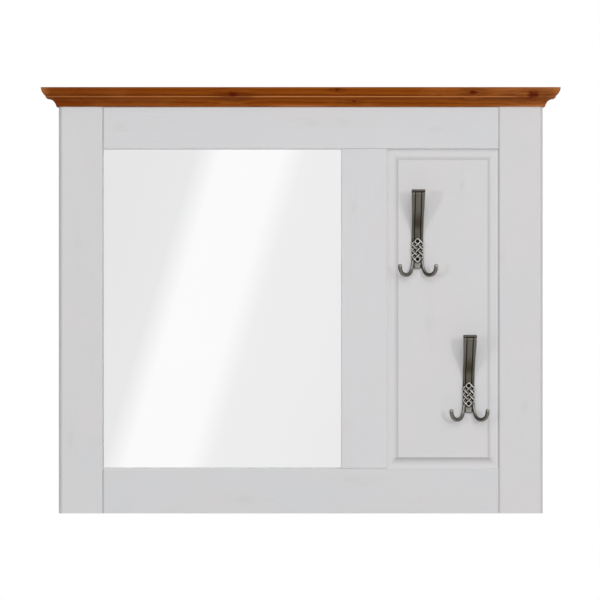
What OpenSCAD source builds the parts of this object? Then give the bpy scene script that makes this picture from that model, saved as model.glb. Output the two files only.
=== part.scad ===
// Hall mirror with a fielded panel, two three-arm coat hooks and a crown moulding.
// Millimetres. +X right, +Z up, the front faces -Y. The frame's back lies in the plane y = 0,
// and the origin is midway between the entry holes of the two keyhole plates.

/* [Frame] */
// Width of the frame across its two outer stiles
frame_w = 872; // [850:1:960]
// Height of the frame under the crown
frame_h = 732; // [690:1:820]
// Thickness of the stiles and rails
frame_t = 22; // [20.5:0.5:28]
// Width of the left and the right stile
stile_w = 79.5; // [72:0.5:88]
// Width of the stile between the mirror and the panel
middle_stile_w = 82; // [72:1:95]
// Width of the top rail
top_rail_w = 75.5; // [66:0.5:95]
// Width of the bottom rail
bottom_rail_w = 81; // [66:1:100]
// Rounding of the outer front edge of each outer stile
outer_round_r = 7.5; // [3:0.5:9]
// Easing of the other front edges, which leaves a fine groove at every joint
arris_r = 1.6; // [0.5:0.1:2]

/* [Mirror] */
// Width of the mirror that shows between the stiles
mirror_w = 430; // [380:1:445]
// Thickness of the glass
glass_t = 4; // [3:0.5:6]
// Thickness of the hardboard behind the glass
board_t = 3; // [2.5:0.5:4]
// How far the rebate for the glass reaches in behind the frame's lip
glass_lap = 8; // [6:0.5:10]
// How far the shallow recess for the hardboard reaches into the frame
board_lap = 22; // [18:0.5:26]
// Gap round the edges of the glass and of the hardboard
glass_gap = 0.8; // [0.4:0.1:0.9]

/* [Fielded panel] */
// Width of the sloping margin round the raised field
margin_w = 20; // [14:0.5:24]
// Thickness of the panel at its field
panel_t = 15; // [13:0.5:17]
// How far the field lies below the face of the frame
field_drop = 0.5; // [0.2:0.1:1.5]
// Height of the step round the field
field_step = 1.2; // [0.8:0.1:1.6]
// Width of the hollow that runs out from the foot of that step
hollow_w = 9; // [7:0.5:10]
// How far the hollow falls over its width
hollow_drop = 4; // [3.4:0.1:4.4]
// Radius of the hollow
hollow_r = 14; // [12:0.5:18]
// Distance from the face of the frame down to the front of the tongue
tongue_inset = 6.8; // [6.4:0.1:8]
// Thickness of the tongue round the panel
tongue_t = 6; // [4.5:0.5:6.5]
// Depth of the groove that holds the tongue
groove_d = 10; // [8:0.5:12]
// Play between the edge of the tongue and the bottom of the groove
tongue_play = 0.8; // [0.4:0.1:0.9]
// Clearance on each face of the tongue
tongue_gap = 0.15; // [0.05:0.05:0.3]

/* [Crown moulding] */
// Height of the crown
crown_h = 33; // [31:0.5:35]
// How far the top of the crown stands out past the frame
crown_overhang = 29; // [26:1:36]
// How far the foot of the crown stands out past the frame
crown_foot = 3.5; // [2:0.5:5]
// Radius of the convex curve under the top edge
ovolo_r = 19; // [17.5:0.5:22]
// Height of the top of the nose above the foot
nose_top = 18.5; // [17:0.5:19.5]
// How far the nose stands back from the lower end of that curve
nose_set = 1.2; // [0.5:0.1:2]
// Height of the front face of the nose
nose_h = 3.3; // [2:0.1:4]
// Depth of the quirk under the nose
quirk_d = 1.5; // [0.5:0.1:2]
// Radius of the hollow between the nose and the foot
cove_r = 18.7; // [16:0.1:24]
// Easing of the top edge
crown_edge_r = 1; // [0.5:0.1:2]

/* [Hooks] */
// Distance from the top rail down to the middle of the upper hook
upper_hook_drop = 183; // [160:0.5:200]
// Distance from the middle of the upper hook down to the middle of the lower one
hook_step = 259.5; // [210:0.5:290]
// Sideways distance between the middles of the two hooks
hook_spread = 92; // [40:1:96]
// Width of the strap that forms the arm
strap_w = 21; // [20:0.5:24]
// Thickness of the strap
strap_t = 4.5; // [4:0.1:6]
// Width of the middle band between the two flutes of the strap
band_w = 11; // [9:0.5:12]
// Width of each flute
flute_w = 1.8; // [1.2:0.1:2.4]
// Depth of each flute
flute_d = 1.3; // [0.6:0.1:1.8]
// Height of the arm's tip above the middle of the hook
arm_rise = 108; // [96:1:125]
// How far the arm's tip stands off the panel
arm_reach = 46; // [36:1:56]
// Length of the rounded lip across the arm's tip
lip_w = 25; // [22:0.2:30]
// Radius of that lip
lip_r = 2.5; // [2.2:0.1:3.5]
// Length of the tongue from the middle of the hook down to its end
tail_drop = 33.4; // [28:0.2:38]
// Sideways distance from the middle of the hook to the axis of each prong's tip
prong_spread = 32.3; // [29:0.1:38]
// Distance from the middle of the hook down to the axis of each prong at its lowest
prong_drop = 44.4; // [42:0.1:52]
// Height of each prong's tip above its lowest point
prong_rise = 16; // [12:0.5:22]
// How far the axis of each prong's tip stands off the panel
prong_reach = 29; // [24:1:36]
// Radius of each prong where it leaves the boss
prong_root_r = 2.5; // [2.2:0.1:3]
// Radius of each prong at its tip
prong_tip_r = 3.5; // [2.8:0.1:3.6]
// Thickness of the web that joins the tongue to the two prongs
web_t = 2; // [1.5:0.1:3]
// Half of the distance between neighbouring openings of the lattice boss
lattice_step = 5.35; // [5.2:0.05:5.8]
// Radius of the lattice's strands
strand_r = 1.8; // [1.4:0.05:1.9]
// Height of the boss's floor above the panel
boss_floor = 5.2; // [4.8:0.1:6.4]

/* [Joinery] */
// Diameter of the dowels in the frame
dowel_d = 8; // [6:1:10]
// Length of the dowels in the frame
dowel_len = 40; // [30:1:50]
// Distance between the two dowels of one joint
dowel_pitch = 40; // [30:1:46]
// Length of the dowels under the crown
crown_dowel_len = 30; // [24:1:36]
// Clearance round every dowel, and past each of its ends
dowel_gap = 0.1; // [0.05:0.05:0.3]

/* [Wall fixing] */
// Distance from the top of the frame down to the entry holes of the keyhole plates
hanger_drop = 62; // [48:1:90]
// Length of each keyhole plate
hanger_len = 60; // [56:1:70]
// Width of each keyhole plate
hanger_w = 22; // [20:0.5:28]
// Thickness of each keyhole plate
hanger_t = 2; // [1.5:0.1:3]
// Radius of the round entry hole
entry_r = 5; // [4:0.1:6]
// Width of the slot above the entry hole
slot_w = 4.6; // [3.5:0.1:5.5]
// Distance from the entry hole up to the seat at the end of the slot
slot_rise = 10; // [8:0.5:12]
// Depth of the pocket behind the plate for the head of the wall's screw
pocket_d = 9; // [6:0.5:11]
// Gap round each keyhole plate in its recess
hanger_gap = 0.3; // [0.1:0.1:0.5]

/* [Screws] */
// Radius of a hook screw's shank
hook_screw_r = 1.8; // [1.5:0.1:2]
// Radius of a hook screw's head
hook_screw_head_r = 3.2; // [2.6:0.1:3.4]
// Length of a hook screw
hook_screw_len = 16; // [14:0.5:17]
// Radius of the shank of a screw in a keyhole plate
hanger_screw_r = 1.75; // [1.5:0.05:2]
// Radius of the head of a screw in a keyhole plate
hanger_screw_head_r = 3.4; // [3:0.1:3.8]
// Length of a screw in a keyhole plate
hanger_screw_len = 16; // [12:0.5:18]
// Radius of the shank of a screw in the hardboard
board_screw_r = 1.5; // [1.2:0.05:1.75]
// Radius of the head of a screw in the hardboard
board_screw_head_r = 2.8; // [2.4:0.1:3.2]
// Length of a screw in the hardboard
board_screw_len = 12; // [10:0.5:15]
// Clearance between a screw and the metal or board that it goes through
screw_gap = 0.3; // [0.1:0.05:0.5]
// Clearance between a screw and the wood that it is driven into
pilot_gap = 0.05; // [0.02:0.01:0.1]

/* [Hidden] */
$fn = 48;
cut = 1;                                    // how far a cutting shape runs past the face it opens
smooth = 96;                                // sides of the crown's long curves

// Colours of the finishes
paint = [0.83, 0.82, 0.82];
oiled_pine = [0.50, 0.27, 0.08];
raw_wood = [0.80, 0.68, 0.50];
hardboard = [0.42, 0.30, 0.20];
silvering = [0.86, 0.88, 0.88];
pewter = [0.36, 0.34, 0.30];
dark_screw = [0.08, 0.08, 0.08];
zinc = [0.68, 0.70, 0.72];

// The frame's lines
left_x = -frame_w / 2;
right_x = frame_w / 2;
top_z = hanger_drop;
bottom_z = top_z - frame_h;
front_y = -frame_t;
open_top_z = top_z - top_rail_w;            // underside of the top rail
open_bottom_z = bottom_z + bottom_rail_w;   // upper side of the bottom rail
open_h = open_top_z - open_bottom_z;
mirror_left_x = left_x + stile_w;
mirror_right_x = mirror_left_x + mirror_w;
panel_left_x = mirror_right_x + middle_stile_w;
panel_right_x = right_x - stile_w;
panel_open_w = panel_right_x - panel_left_x;
middle_stile_x = (mirror_right_x + panel_left_x) / 2;
dowel_y = front_y / 2;
board_screw_line = (glass_lap + board_lap) / 2;    // distance of the hardboard's screws from the opening

// The fielded panel
field_y = front_y + field_drop;
panel_back_y = field_y + panel_t;
tongue_front_y = front_y + tongue_inset;
tongue_back_y = tongue_front_y + tongue_t;
tongue_w = groove_d - tongue_play;          // how far the tongue reaches past the opening
panel_mid_x = (panel_left_x + panel_right_x) / 2;
open_mid_z = (open_top_z + open_bottom_z) / 2;
hollow_steps = 8;                           // flats that make the hollow, so that its mitres close

// The hooks
upper_hook_x = panel_mid_x - hook_spread / 2;
lower_hook_x = panel_mid_x + hook_spread / 2;
upper_hook_z = open_top_z - upper_hook_drop;
lower_hook_z = upper_hook_z - hook_step;
hook_screw_reach = 3 * lattice_step;        // the screws sit in the lattice's end openings
hook_screw_sink = 0.2;                      // how far a screw's top lies under the boss's floor
hook_screw_seat = boss_floor - hook_screw_sink;
tail_corner_r = 1;                          // rounding of the lower corners of the tongue
web_end = 2;                                // how far the web stops short of the tongue's end

// The arm: an S curve from flat on the panel to flat behind the lip
arm_foot = lattice_step * 4;                // the arm lies on the panel up to the boss's top
arm_top = arm_rise - lip_r;
arm_steps = 22;
strap_crown = 0.3;                          // how far the bands fall away towards the flutes
strap_edge_r = 1.2;                         // rounding of the strap's long edges
lip_edge_r = lip_r * 0.7;

// The axis of the right prong, in two bends: down off the boss, then out and up to the tip
prong_sides = 16;
prong_steps = 12;
prong_root = [strap_w / 2 - prong_root_r, -arm_foot / 2, prong_root_r];
prong_low = [prong_spread * 0.65, -prong_drop, prong_reach * 0.67];
prong_tip = [prong_spread, prong_rise - prong_drop, prong_reach];
prong_bends = [
    [prong_root, prong_root + [0.3, -16, 0.8], prong_low - [11, 0, 8], prong_low],
    [prong_low, prong_low + [8, 0, 6], prong_tip - [0, prong_rise * 0.55, 0.4], prong_tip]
];
dome_lifts = [0, 22, 44, 66, 84];           // angles of the rings that close a prong's round tip

// The lattice
weave = 0.4;                                // how much higher the strands lie that lean to the right
turn = 0.22;                                // how far each side turn is cut short, in lattice steps
run_on = strand_r * 0.4;                    // closes the outer side of each bend of a strand

// The keyhole plates
hanger_x = (frame_w - stile_w) / 2;
hanger_screw_z = (hanger_len - hanger_w) / 2 + 3;
pocket_gap = 1;                             // how much wider the pocket is than the entry hole

// ---- Shapes that repeat ----

// The middle of a circle of radius r through a and b, on the right of the way from a to b
function circle_middle(a, b, r) =
    let (way = b - a, len = norm(way))
    (a + b) / 2 + [way[1], -way[0]] / len * sqrt(r * r - len * len / 4);

// Points along that circle from a to b
function arc(a, b, r, steps) =
    let (
        middle = circle_middle(a, b, r), out = a - middle, end = b - middle,
        first = atan2(out[1], out[0]), turned = atan2(end[1], end[0]) - first
    )
    [for (i = [0:steps]) let (at = first + turned * i / steps) middle + r * [cos(at), sin(at)]];

// The waste outside a rounded corner, with the corner at the origin and the body in +x, +y
module corner_waste(r) {
    difference() {
        translate([-cut, -cut]) square([r + cut, r + cut]);
        translate([r, r]) circle(r);
    }
}

// A board's section: width along x, front face down at y = -t, with its two front edges rounded
module board_section(w, t, left_r, right_r) {
    difference() {
        translate([0, -t]) square([w, t]);
        translate([0, -t]) corner_waste(left_r);
        translate([w, -t]) mirror([1, 0]) corner_waste(right_r);
    }
}

// An upright board standing on z, with the front edges of its two sides rounded
module upright(x, z, w, h, left_r, right_r) {
    translate([x, 0, z]) linear_extrude(h) board_section(w, frame_t, left_r, right_r);
}

// A crosswise board, with the front edges of its lower and upper side rounded
module crosswise(x, z, w, h, lower_r, upper_r) {
    translate([x, 0, z]) rotate([90, 0, 90]) linear_extrude(w)
        mirror([1, -1]) board_section(h, frame_t, lower_r, upper_r);
}

// A round bar along y whose back end lies at y_back
module bar_y(x, z, y_back, len, r) {
    translate([x, y_back, z]) rotate([90, 0, 0]) cylinder(h = len, r = r);
}

// A countersunk screw along -z with its flat top at z = 0. Grown by gap it is the hole for itself.
module countersunk_screw(r, head_r, len, gap = 0) {
    head_h = head_r - r;
    translate([0, 0, -head_h]) cylinder(h = head_h, r1 = r + gap, r2 = head_r + gap);
    translate([0, 0, -len]) cylinder(h = len - head_h / 2, r = r + gap);
}

// A cross slot in the top of a screw's head
module cross_slot(head_r) {
    size = head_r * 1.2;
    slot = size / 5;
    depth = size / 3;
    for (a = [0, 90])
        rotate(a) translate([-size / 2, -slot / 2, -depth]) cube([size, slot, depth + cut]);
}

// The screw itself where gap is 0, and otherwise the hole that it leaves
module slotted_screw(r, head_r, len, gap = 0) {
    difference() {
        countersunk_screw(r, head_r, len, gap);
        if (gap == 0) cross_slot(head_r);
    }
}

// ---- Joinery of the frame ----

// The places of the dowels that run crosswise, as the end of a rail and its height
function rail_dowel_places() = [
    for (x = [mirror_left_x, panel_right_x],
         z = [open_top_z + top_rail_w / 2, open_bottom_z - bottom_rail_w / 2], side = [-1, 1])
        [x, z + side * dowel_pitch / 2]
];

// The places of the dowels that run upright, at the two ends of the middle stile
function stile_dowel_places() = [
    for (z = [open_top_z, open_bottom_z], side = [-1, 1])
        [middle_stile_x + side * dowel_pitch / 2, z]
];

// The places of the dowels under the crown
function crown_dowel_places() = [for (i = [-2:2]) i * hanger_x / 2];

// All the frame's dowels. Grown by gap they are the holes for themselves.
module frame_dowel_set(gap = 0) {
    for (p = rail_dowel_places())
        translate([p[0], dowel_y, p[1]]) rotate([0, 90, 0])
            cylinder(h = dowel_len + 2 * gap, d = dowel_d + 2 * gap, center = true);
    for (p = stile_dowel_places())
        translate([p[0], dowel_y, p[1]])
            cylinder(h = dowel_len + 2 * gap, d = dowel_d + 2 * gap, center = true);
}

// The dowels that hold the crown down on the frame. Grown by gap they are their own holes.
module crown_dowel_set(gap = 0) {
    for (x = crown_dowel_places())
        translate([x, dowel_y, top_z])
            cylinder(h = crown_dowel_len + 2 * gap, d = dowel_d + 2 * gap, center = true);
}

// A block behind the mirror's opening, lap wider all round, from the back down to a depth
module mirror_block(lap, depth, t) {
    translate([mirror_left_x - lap, -depth, open_bottom_z - lap])
        cube([mirror_w + 2 * lap, t, open_h + 2 * lap]);
}

// The two-step rebate for the glass and for the hardboard
module mirror_rebate() {
    mirror_block(glass_lap, board_t + glass_t, board_t + glass_t + cut);
    mirror_block(board_lap, board_t, board_t + cut);
}

// The groove round the panel's opening
module panel_groove() {
    translate([panel_left_x - groove_d, tongue_front_y - tongue_gap, open_bottom_z - groove_d])
        cube([panel_open_w + 2 * groove_d, tongue_t + 2 * tongue_gap, open_h + 2 * groove_d]);
}

// The places of the screws round the hardboard
function board_screw_places() = concat(
    [for (x = [mirror_left_x - board_screw_line, mirror_right_x + board_screw_line], i = [1:4])
        [x, open_bottom_z + open_h * i / 5]],
    [for (z = [open_bottom_z - board_screw_line, open_top_z + board_screw_line], i = [1:3])
        [mirror_left_x + mirror_w * i / 4, z]]
);

// The screws of the hardboard, with their tops flush in its back
module board_screw_set(gap = 0) {
    for (p = board_screw_places())
        translate([p[0], 0, p[1]]) rotate([-90, 0, 0])
            slotted_screw(board_screw_r, board_screw_head_r, board_screw_len, gap);
}

// ---- Frame members ----

module frame_member_cuts() {
    mirror_rebate();
    panel_groove();
    frame_dowel_set(dowel_gap);
    crown_dowel_set(dowel_gap);
    board_screw_set(pilot_gap);
    for (x = [-hanger_x, hanger_x]) hanger_recess(x);
}

module left_stile() {
    color(paint) difference() {
        upright(left_x, bottom_z, stile_w, frame_h, outer_round_r, arris_r);
        frame_member_cuts();
    }
}

module right_stile() {
    color(paint) difference() {
        upright(panel_right_x, bottom_z, stile_w, frame_h, arris_r, outer_round_r);
        frame_member_cuts();
    }
}

module middle_stile() {
    color(paint) difference() {
        intersection() {
            upright(mirror_right_x, open_bottom_z, middle_stile_w, open_h, arris_r, arris_r);
            crosswise(mirror_right_x, open_bottom_z, middle_stile_w, open_h, arris_r, arris_r);
        }
        frame_member_cuts();
    }
}

module rail(z, h) {
    rail_w = panel_right_x - mirror_left_x;
    color(paint) difference() {
        intersection() {
            upright(mirror_left_x, z, rail_w, h, arris_r, arris_r);
            crosswise(mirror_left_x, z, rail_w, h, arris_r, arris_r);
        }
        frame_member_cuts();
    }
}

module top_rail() {
    rail(open_top_z, top_rail_w);
}

module bottom_rail() {
    rail(bottom_z, bottom_rail_w);
}

module frame_dowels() {
    color(raw_wood) frame_dowel_set();
}

// ---- Crown moulding ----

// The crown's section: x outwards from the face of the frame, y up from the foot
module crown_section() {
    ovolo_end = crown_overhang - ovolo_r + sqrt(pow(ovolo_r, 2) - pow(crown_h - nose_top, 2));
    nose_out = ovolo_end - nose_set;
    cove_top = [nose_out - quirk_d, nose_top - nose_h];
    cove_middle = circle_middle([crown_foot, 0], cove_top, cove_r);
    difference() {
        translate([-frame_t, nose_top]) square([frame_t + crown_overhang, crown_h - nose_top]);
        difference() {
            translate([crown_overhang - ovolo_r, nose_top - cut])
                square([ovolo_r + cut, crown_h - nose_top + cut]);
            translate([crown_overhang - ovolo_r, crown_h]) circle(ovolo_r, $fn = smooth);
        }
        translate([crown_overhang, crown_h]) rotate(180) corner_waste(crown_edge_r);
    }
    translate([-frame_t, nose_top - nose_h]) square([frame_t + nose_out, nose_h]);
    difference() {
        translate([-frame_t, 0]) square([frame_t + nose_out, cove_top[1]]);
        translate(cove_middle) circle(cove_r, $fn = smooth);
    }
}

// The front length of the moulding, and the return at the right end before it is cut
module crown_run_front() {
    translate([right_x + crown_overhang, front_y, top_z]) rotate([90, 0, -90])
        linear_extrude(frame_w + 2 * crown_overhang) crown_section();
}

module crown_run_side() {
    translate([right_x, 0, top_z]) rotate([90, 0, 0])
        linear_extrude(frame_t + crown_overhang) crown_section();
}

// Everything on the return's side of the right mitre
module mitre_wedge() {
    reach = frame_t + crown_overhang;
    translate([right_x + crown_overhang, front_y - crown_overhang, top_z - cut])
        linear_extrude(crown_h + 2 * cut)
            polygon([[0, 0], [cut, 0], [cut, reach + cut], [-reach - cut, reach + cut]]);
}

module crown_front() {
    color(oiled_pine) difference() {
        crown_run_front();
        mitre_wedge();
        mirror([1, 0, 0]) mitre_wedge();
        crown_dowel_set(dowel_gap);
    }
}

module crown_right_return() {
    color(oiled_pine) intersection() {
        crown_run_side();
        mitre_wedge();
    }
}

module crown_left_return() {
    mirror([1, 0, 0]) crown_right_return();
}

module crown_dowels() {
    color(raw_wood) crown_dowel_set();
}

// ---- Fielded panel ----

// The right half of the panel's outline for an opening of a given width, from the field's edge
// round to its back: x from the middle, y as in the part
function panel_half(open_w) =
    let (
        field = open_w / 2 - margin_w, edge = open_w / 2 + tongue_w,
        shoulder = open_w / 2 - tongue_play,
        hollow_top = [field, field_y + field_step], hollow_foot = hollow_top + [hollow_w, hollow_drop]
    )
    concat(
        [[field, field_y]],
        arc(hollow_top, hollow_foot, hollow_r, hollow_steps),
        [
            [open_w / 2, tongue_front_y], [edge, tongue_front_y], [edge, tongue_back_y],
            [shoulder, tongue_back_y], [shoulder, panel_back_y]
        ]
    );

module panel_section(open_w) {
    half = panel_half(open_w);
    polygon(concat(half, [for (i = [len(half) - 1:-1:0]) [-half[i][0], half[i][1]]]));
}

// Two lengths of the section that cross give the panel its mitred margins
module fielded_panel() {
    color(paint) difference() {
        translate([panel_mid_x, 0, open_mid_z]) intersection() {
            linear_extrude(open_h + 2 * tongue_w, center = true) panel_section(panel_open_w);
            rotate([90, 0, 90]) linear_extrude(panel_open_w + 2 * tongue_w, center = true)
                mirror([1, -1]) panel_section(open_h);
        }
        hook_screw_set(pilot_gap);
    }
}

// ---- Mirror ----

module mirror_glass() {
    color(silvering) mirror_block(glass_lap - glass_gap, board_t + glass_t, glass_t);
}

module backing_board() {
    color(hardboard) difference() {
        mirror_block(board_lap - glass_gap, board_t, board_t);
        board_screw_set(screw_gap);
    }
}

module backing_screws() {
    color(zinc) board_screw_set();
}

// ---- Hooks ----
// A hook is drawn lying on its back: x to the right, y up the wall, z out from the panel.

module at_upper_hook() {
    translate([upper_hook_x, field_y, upper_hook_z]) rotate([90, 0, 0]) children();
}

module at_lower_hook() {
    translate([lower_hook_x, field_y, lower_hook_z]) rotate([90, 0, 0]) children();
}

// A skin of triangles over rings of points, closed at both ends
module skin(rings) {
    n = len(rings[0]);
    last = len(rings) - 1;
    polyhedron(
        points = [for (ring = rings, p = ring) p],
        faces = concat(
            [[for (i = [n - 1:-1:0]) i]],
            [for (k = [0:last - 1], i = [0:n - 1]) each [
                [k * n + i, k * n + (i + 1) % n, (k + 1) * n + i],
                [k * n + (i + 1) % n, (k + 1) * n + (i + 1) % n, (k + 1) * n + i]
            ]],
            [[for (i = [0:n - 1]) last * n + i]]
        )
    );
}

function ease(t) = t <= 0 ? 0 : t >= 1 ? 1 : t * t * (3 - 2 * t);

// How far up the free part of the arm a height y lies, from 0 to 1
function arm_share(y) = (y - arm_foot) / (arm_top - arm_foot);
// How far the back of the arm stands off the panel at a height y, and how steep it is there
function arm_back(y) = (arm_reach - strap_t) * ease(arm_share(y));
function arm_slope(y) = let (d = 0.01) (arm_back(y + d) - arm_back(y - d)) / (2 * d);
// How wide the strap is at a height y: it flares over its upper end
function arm_width(y) = strap_w + (lip_w - strap_w) * 0.8 * ease(arm_share(y) * 1.6 - 0.6);

// Half of the strap's section, from the middle of its face round to the middle of its back
function strap_half(w) =
    let (
        flute = band_w / 2, near = flute - flute_w / 2, far = flute + flute_w / 2, edge = w / 2,
        shoulder = strap_t - strap_crown
    )
    [
        [0, strap_t], [flute * 0.6, strap_t], [near, shoulder], [flute, strap_t - flute_d],
        [far, shoulder], [(far + edge) / 2, strap_t], [edge - strap_edge_r * 0.8, shoulder],
        [edge, strap_t - strap_edge_r], [edge, strap_edge_r], [edge - strap_edge_r, 0]
    ];

// The whole section, stood square to the arm at a height y
function strap_ring(y) =
    let (half = strap_half(arm_width(y)), n = len(half), slope = arm_slope(y), long = norm([1, slope]))
    [
        for (p = concat([for (q = half) [-q[0], q[1]]], [for (i = [n - 1:-1:1]) half[i]]))
            [p[0], y - slope / long * p[1], arm_back(y) + p[1] / long]
    ];

module strap() {
    first_y = arm_foot * 0.8;
    skin([
        strap_ring(-arm_foot / 2),
        for (i = [0:arm_steps]) strap_ring(first_y + (arm_top - first_y) * i / arm_steps)
    ]);
}

// The rounded lip across the arm's tip
module lip() {
    translate([0, arm_top, arm_reach - strap_t + lip_r]) rotate([0, 90, 0])
        rotate_extrude() difference() {
            translate([0, -lip_w / 2]) square([lip_r, lip_w]);
            for (side = [0, 1]) mirror([0, side])
                translate([lip_r, -lip_w / 2]) mirror([1, 0]) corner_waste(lip_edge_r);
        }
}

// The middle band runs on below the boss as a short tongue
module tail() {
    translate([0, -tail_drop, 0]) linear_extrude(strap_t) {
        difference() {
            translate([-band_w / 2, 0]) square([band_w, tail_drop]);
            for (side = [0, 1]) mirror([side, 0]) translate([-band_w / 2, 0]) corner_waste(tail_corner_r);
        }
    }
}

// The thin web between the tongue and the prongs
module web() {
    half_w = strap_w / 2 - prong_root_r * 1.2;
    translate([-half_w, web_end - tail_drop, 0])
        cube([2 * half_w, tail_drop - web_end - arm_foot / 2, web_t]);
}

function bezier(p, t) =
    pow(1 - t, 3) * p[0] + 3 * pow(1 - t, 2) * t * p[1] + 3 * (1 - t) * t * t * p[2] + pow(t, 3) * p[3];
function bezier_way(p, t) =
    3 * pow(1 - t, 2) * (p[1] - p[0]) + 6 * (1 - t) * t * (p[2] - p[1]) + 3 * t * t * (p[3] - p[2]);

// A ring of points round the axis of a bend, square to it, t of the way along
function prong_ring(bend, t, r) =
    let (
        middle = bezier(bend, t), way = bezier_way(bend, t) / norm(bezier_way(bend, t)),
        across = [prong_reach, 0, -prong_spread] / norm([prong_reach, 0, -prong_spread]),
        flat = across - (across * way) * way, u = flat / norm(flat), v = cross(u, way)
    )
    [for (i = [0:prong_sides - 1]) let (a = 360 * i / prong_sides) middle + r * (u * cos(a) + v * sin(a))];

module prong() {
    tip_way = (prong_bends[1][3] - prong_bends[1][2]) / norm(prong_bends[1][3] - prong_bends[1][2]);
    tip_ring = prong_ring(prong_bends[1], 1, prong_tip_r);
    skin([
        for (i = [0:prong_steps - 1]) let (t = i / prong_steps)
            prong_ring(prong_bends[0], t, prong_root_r + (prong_tip_r - prong_root_r) * t),
        for (i = [0:prong_steps - 1]) prong_ring(prong_bends[1], i / prong_steps, prong_tip_r),
        for (lift = dome_lifts)
            [for (p = tip_ring) prong_tip + (p - prong_tip) * cos(lift) + tip_way * prong_tip_r * sin(lift)]
    ]);
}

// One strand of the lattice between two points on it, given in lattice steps. The strands that
// lean to the right lie a little higher than those that they cross.
module strand(a, b) {
    way = (b - a) / norm(b - a);
    lift = way[0] * way[1] > 0 ? weave : way[0] * way[1] < 0 ? 0 : weave / 2;
    start = a * lattice_step - way * run_on;
    translate([start[0], start[1], boss_floor + lift])
        rotate([0, 0, atan2(way[1], way[0])]) rotate([0, 90, 0])
            cylinder(h = norm(b - a) * lattice_step + 2 * run_on, r = strand_r, $fn = 12);
}

// The strands run on slanting lines and turn back at the sides of the boss
module lattice() {
    for (s = [-1, 1]) {
        strand([0, 4], [s * (2 - turn), 2 + turn]);
        strand([s * (2 - turn), 2 - turn], [s * (turn - 2), turn - 2]);
        strand([0, -4], [s * (2 - turn), -2 - turn]);
        strand([-s, 3], [s * (2 - turn), turn]);
        strand([-s, -3], [s * (2 - turn), -turn]);
        for (row = [-2, 0, 2]) strand([s * (2 - turn), row + turn], [s * (2 - turn), row - turn]);
    }
}

// The lattice on its floor, a diamond with its two sides cut upright
module boss() {
    tip = 4 * lattice_step;
    side = 2 * lattice_step - strand_r / 2;
    shoulder = tip - side;
    linear_extrude(boss_floor)
        polygon([[0, tip], [side, shoulder], [side, -shoulder], [0, -tip],
                 [-side, -shoulder], [-side, shoulder]]);
    lattice();
}

module hook_casting() {
    difference() {
        union() {
            strap();
            lip();
            tail();
            web();
            prong();
            mirror([1, 0, 0]) prong();
            boss();
        }
        for (side = [-1, 1]) translate([0, side * hook_screw_reach, hook_screw_seat]) {
            countersunk_screw(hook_screw_r, hook_screw_head_r, hook_screw_len, screw_gap);
            translate([0, 0, -hook_screw_sink])
                cylinder(h = hook_screw_sink + 2 * strand_r, r = hook_screw_head_r + screw_gap);
        }
    }
}

module upper_hook() {
    color(pewter) at_upper_hook() hook_casting();
}

module lower_hook() {
    color(pewter) at_lower_hook() hook_casting();
}

// The two screws of one hook. Grown by gap they are the holes for themselves.
module hook_screw_pair(gap) {
    for (side = [-1, 1]) translate([0, side * hook_screw_reach, hook_screw_seat])
        slotted_screw(hook_screw_r, hook_screw_head_r, hook_screw_len, gap);
}

module hook_screw_set(gap = 0) {
    at_upper_hook() hook_screw_pair(gap);
    at_lower_hook() hook_screw_pair(gap);
}

module hook_screws() {
    color(dark_screw) hook_screw_set();
}

// ---- Wall fixing ----

// The outline of a keyhole plate, seen from behind, with its entry hole at the origin
module hanger_outline(gap = 0) {
    end = (hanger_len - hanger_w) / 2;
    translate([-hanger_w / 2 - gap, -end]) square([hanger_w + 2 * gap, 2 * end]);
    for (side = [-1, 1]) translate([0, side * end]) circle(hanger_w / 2 + gap);
}

// A slot that runs up from the origin, closed by a half circle at each end
module slot_outline(r, rise) {
    circle(r);
    translate([-r, 0]) square([2 * r, rise]);
    translate([0, rise]) circle(r);
}

// The recess for one plate, the pocket behind its keyhole and the holes for its screws
module hanger_recess(x) {
    translate([x, cut, 0]) rotate([90, 0, 0]) linear_extrude(hanger_t + cut)
        hanger_outline(hanger_gap);
    translate([x, cut, 0]) rotate([90, 0, 0]) linear_extrude(hanger_t + pocket_d + cut)
        slot_outline(entry_r + pocket_gap, slot_rise);
    hanger_screw_pair(x, pilot_gap);
}

// The two screws of one plate. Grown by gap they are the holes for themselves.
module hanger_screw_pair(x, gap = 0) {
    for (side = [-1, 1])
        translate([x, 0, side * hanger_screw_z]) rotate([-90, 0, 0])
            slotted_screw(hanger_screw_r, hanger_screw_head_r, hanger_screw_len, gap);
}

module hanger_plate(x) {
    color(zinc) difference() {
        translate([x, 0, 0]) rotate([90, 0, 0]) linear_extrude(hanger_t) difference() {
            hanger_outline();
            circle(entry_r);
            slot_outline(slot_w / 2, slot_rise);
        }
        hanger_screw_pair(x, screw_gap);
    }
}

module left_hanger_plate() {
    hanger_plate(-hanger_x);
}

module right_hanger_plate() {
    hanger_plate(hanger_x);
}

module hanger_screws() {
    color(zinc) for (x = [-hanger_x, hanger_x]) hanger_screw_pair(x);
}

left_stile();
middle_stile();
right_stile();
top_rail();
bottom_rail();
frame_dowels();
crown_front();
crown_left_return();
crown_right_return();
crown_dowels();
fielded_panel();
mirror_glass();
backing_board();
backing_screws();
upper_hook();
lower_hook();
hook_screws();
left_hanger_plate();
right_hanger_plate();
hanger_screws();
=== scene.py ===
"""Paint, timber, silvering, cast hooks and stage of a hall mirror with coat hooks, laid out as an add-on."""
import math

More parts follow.
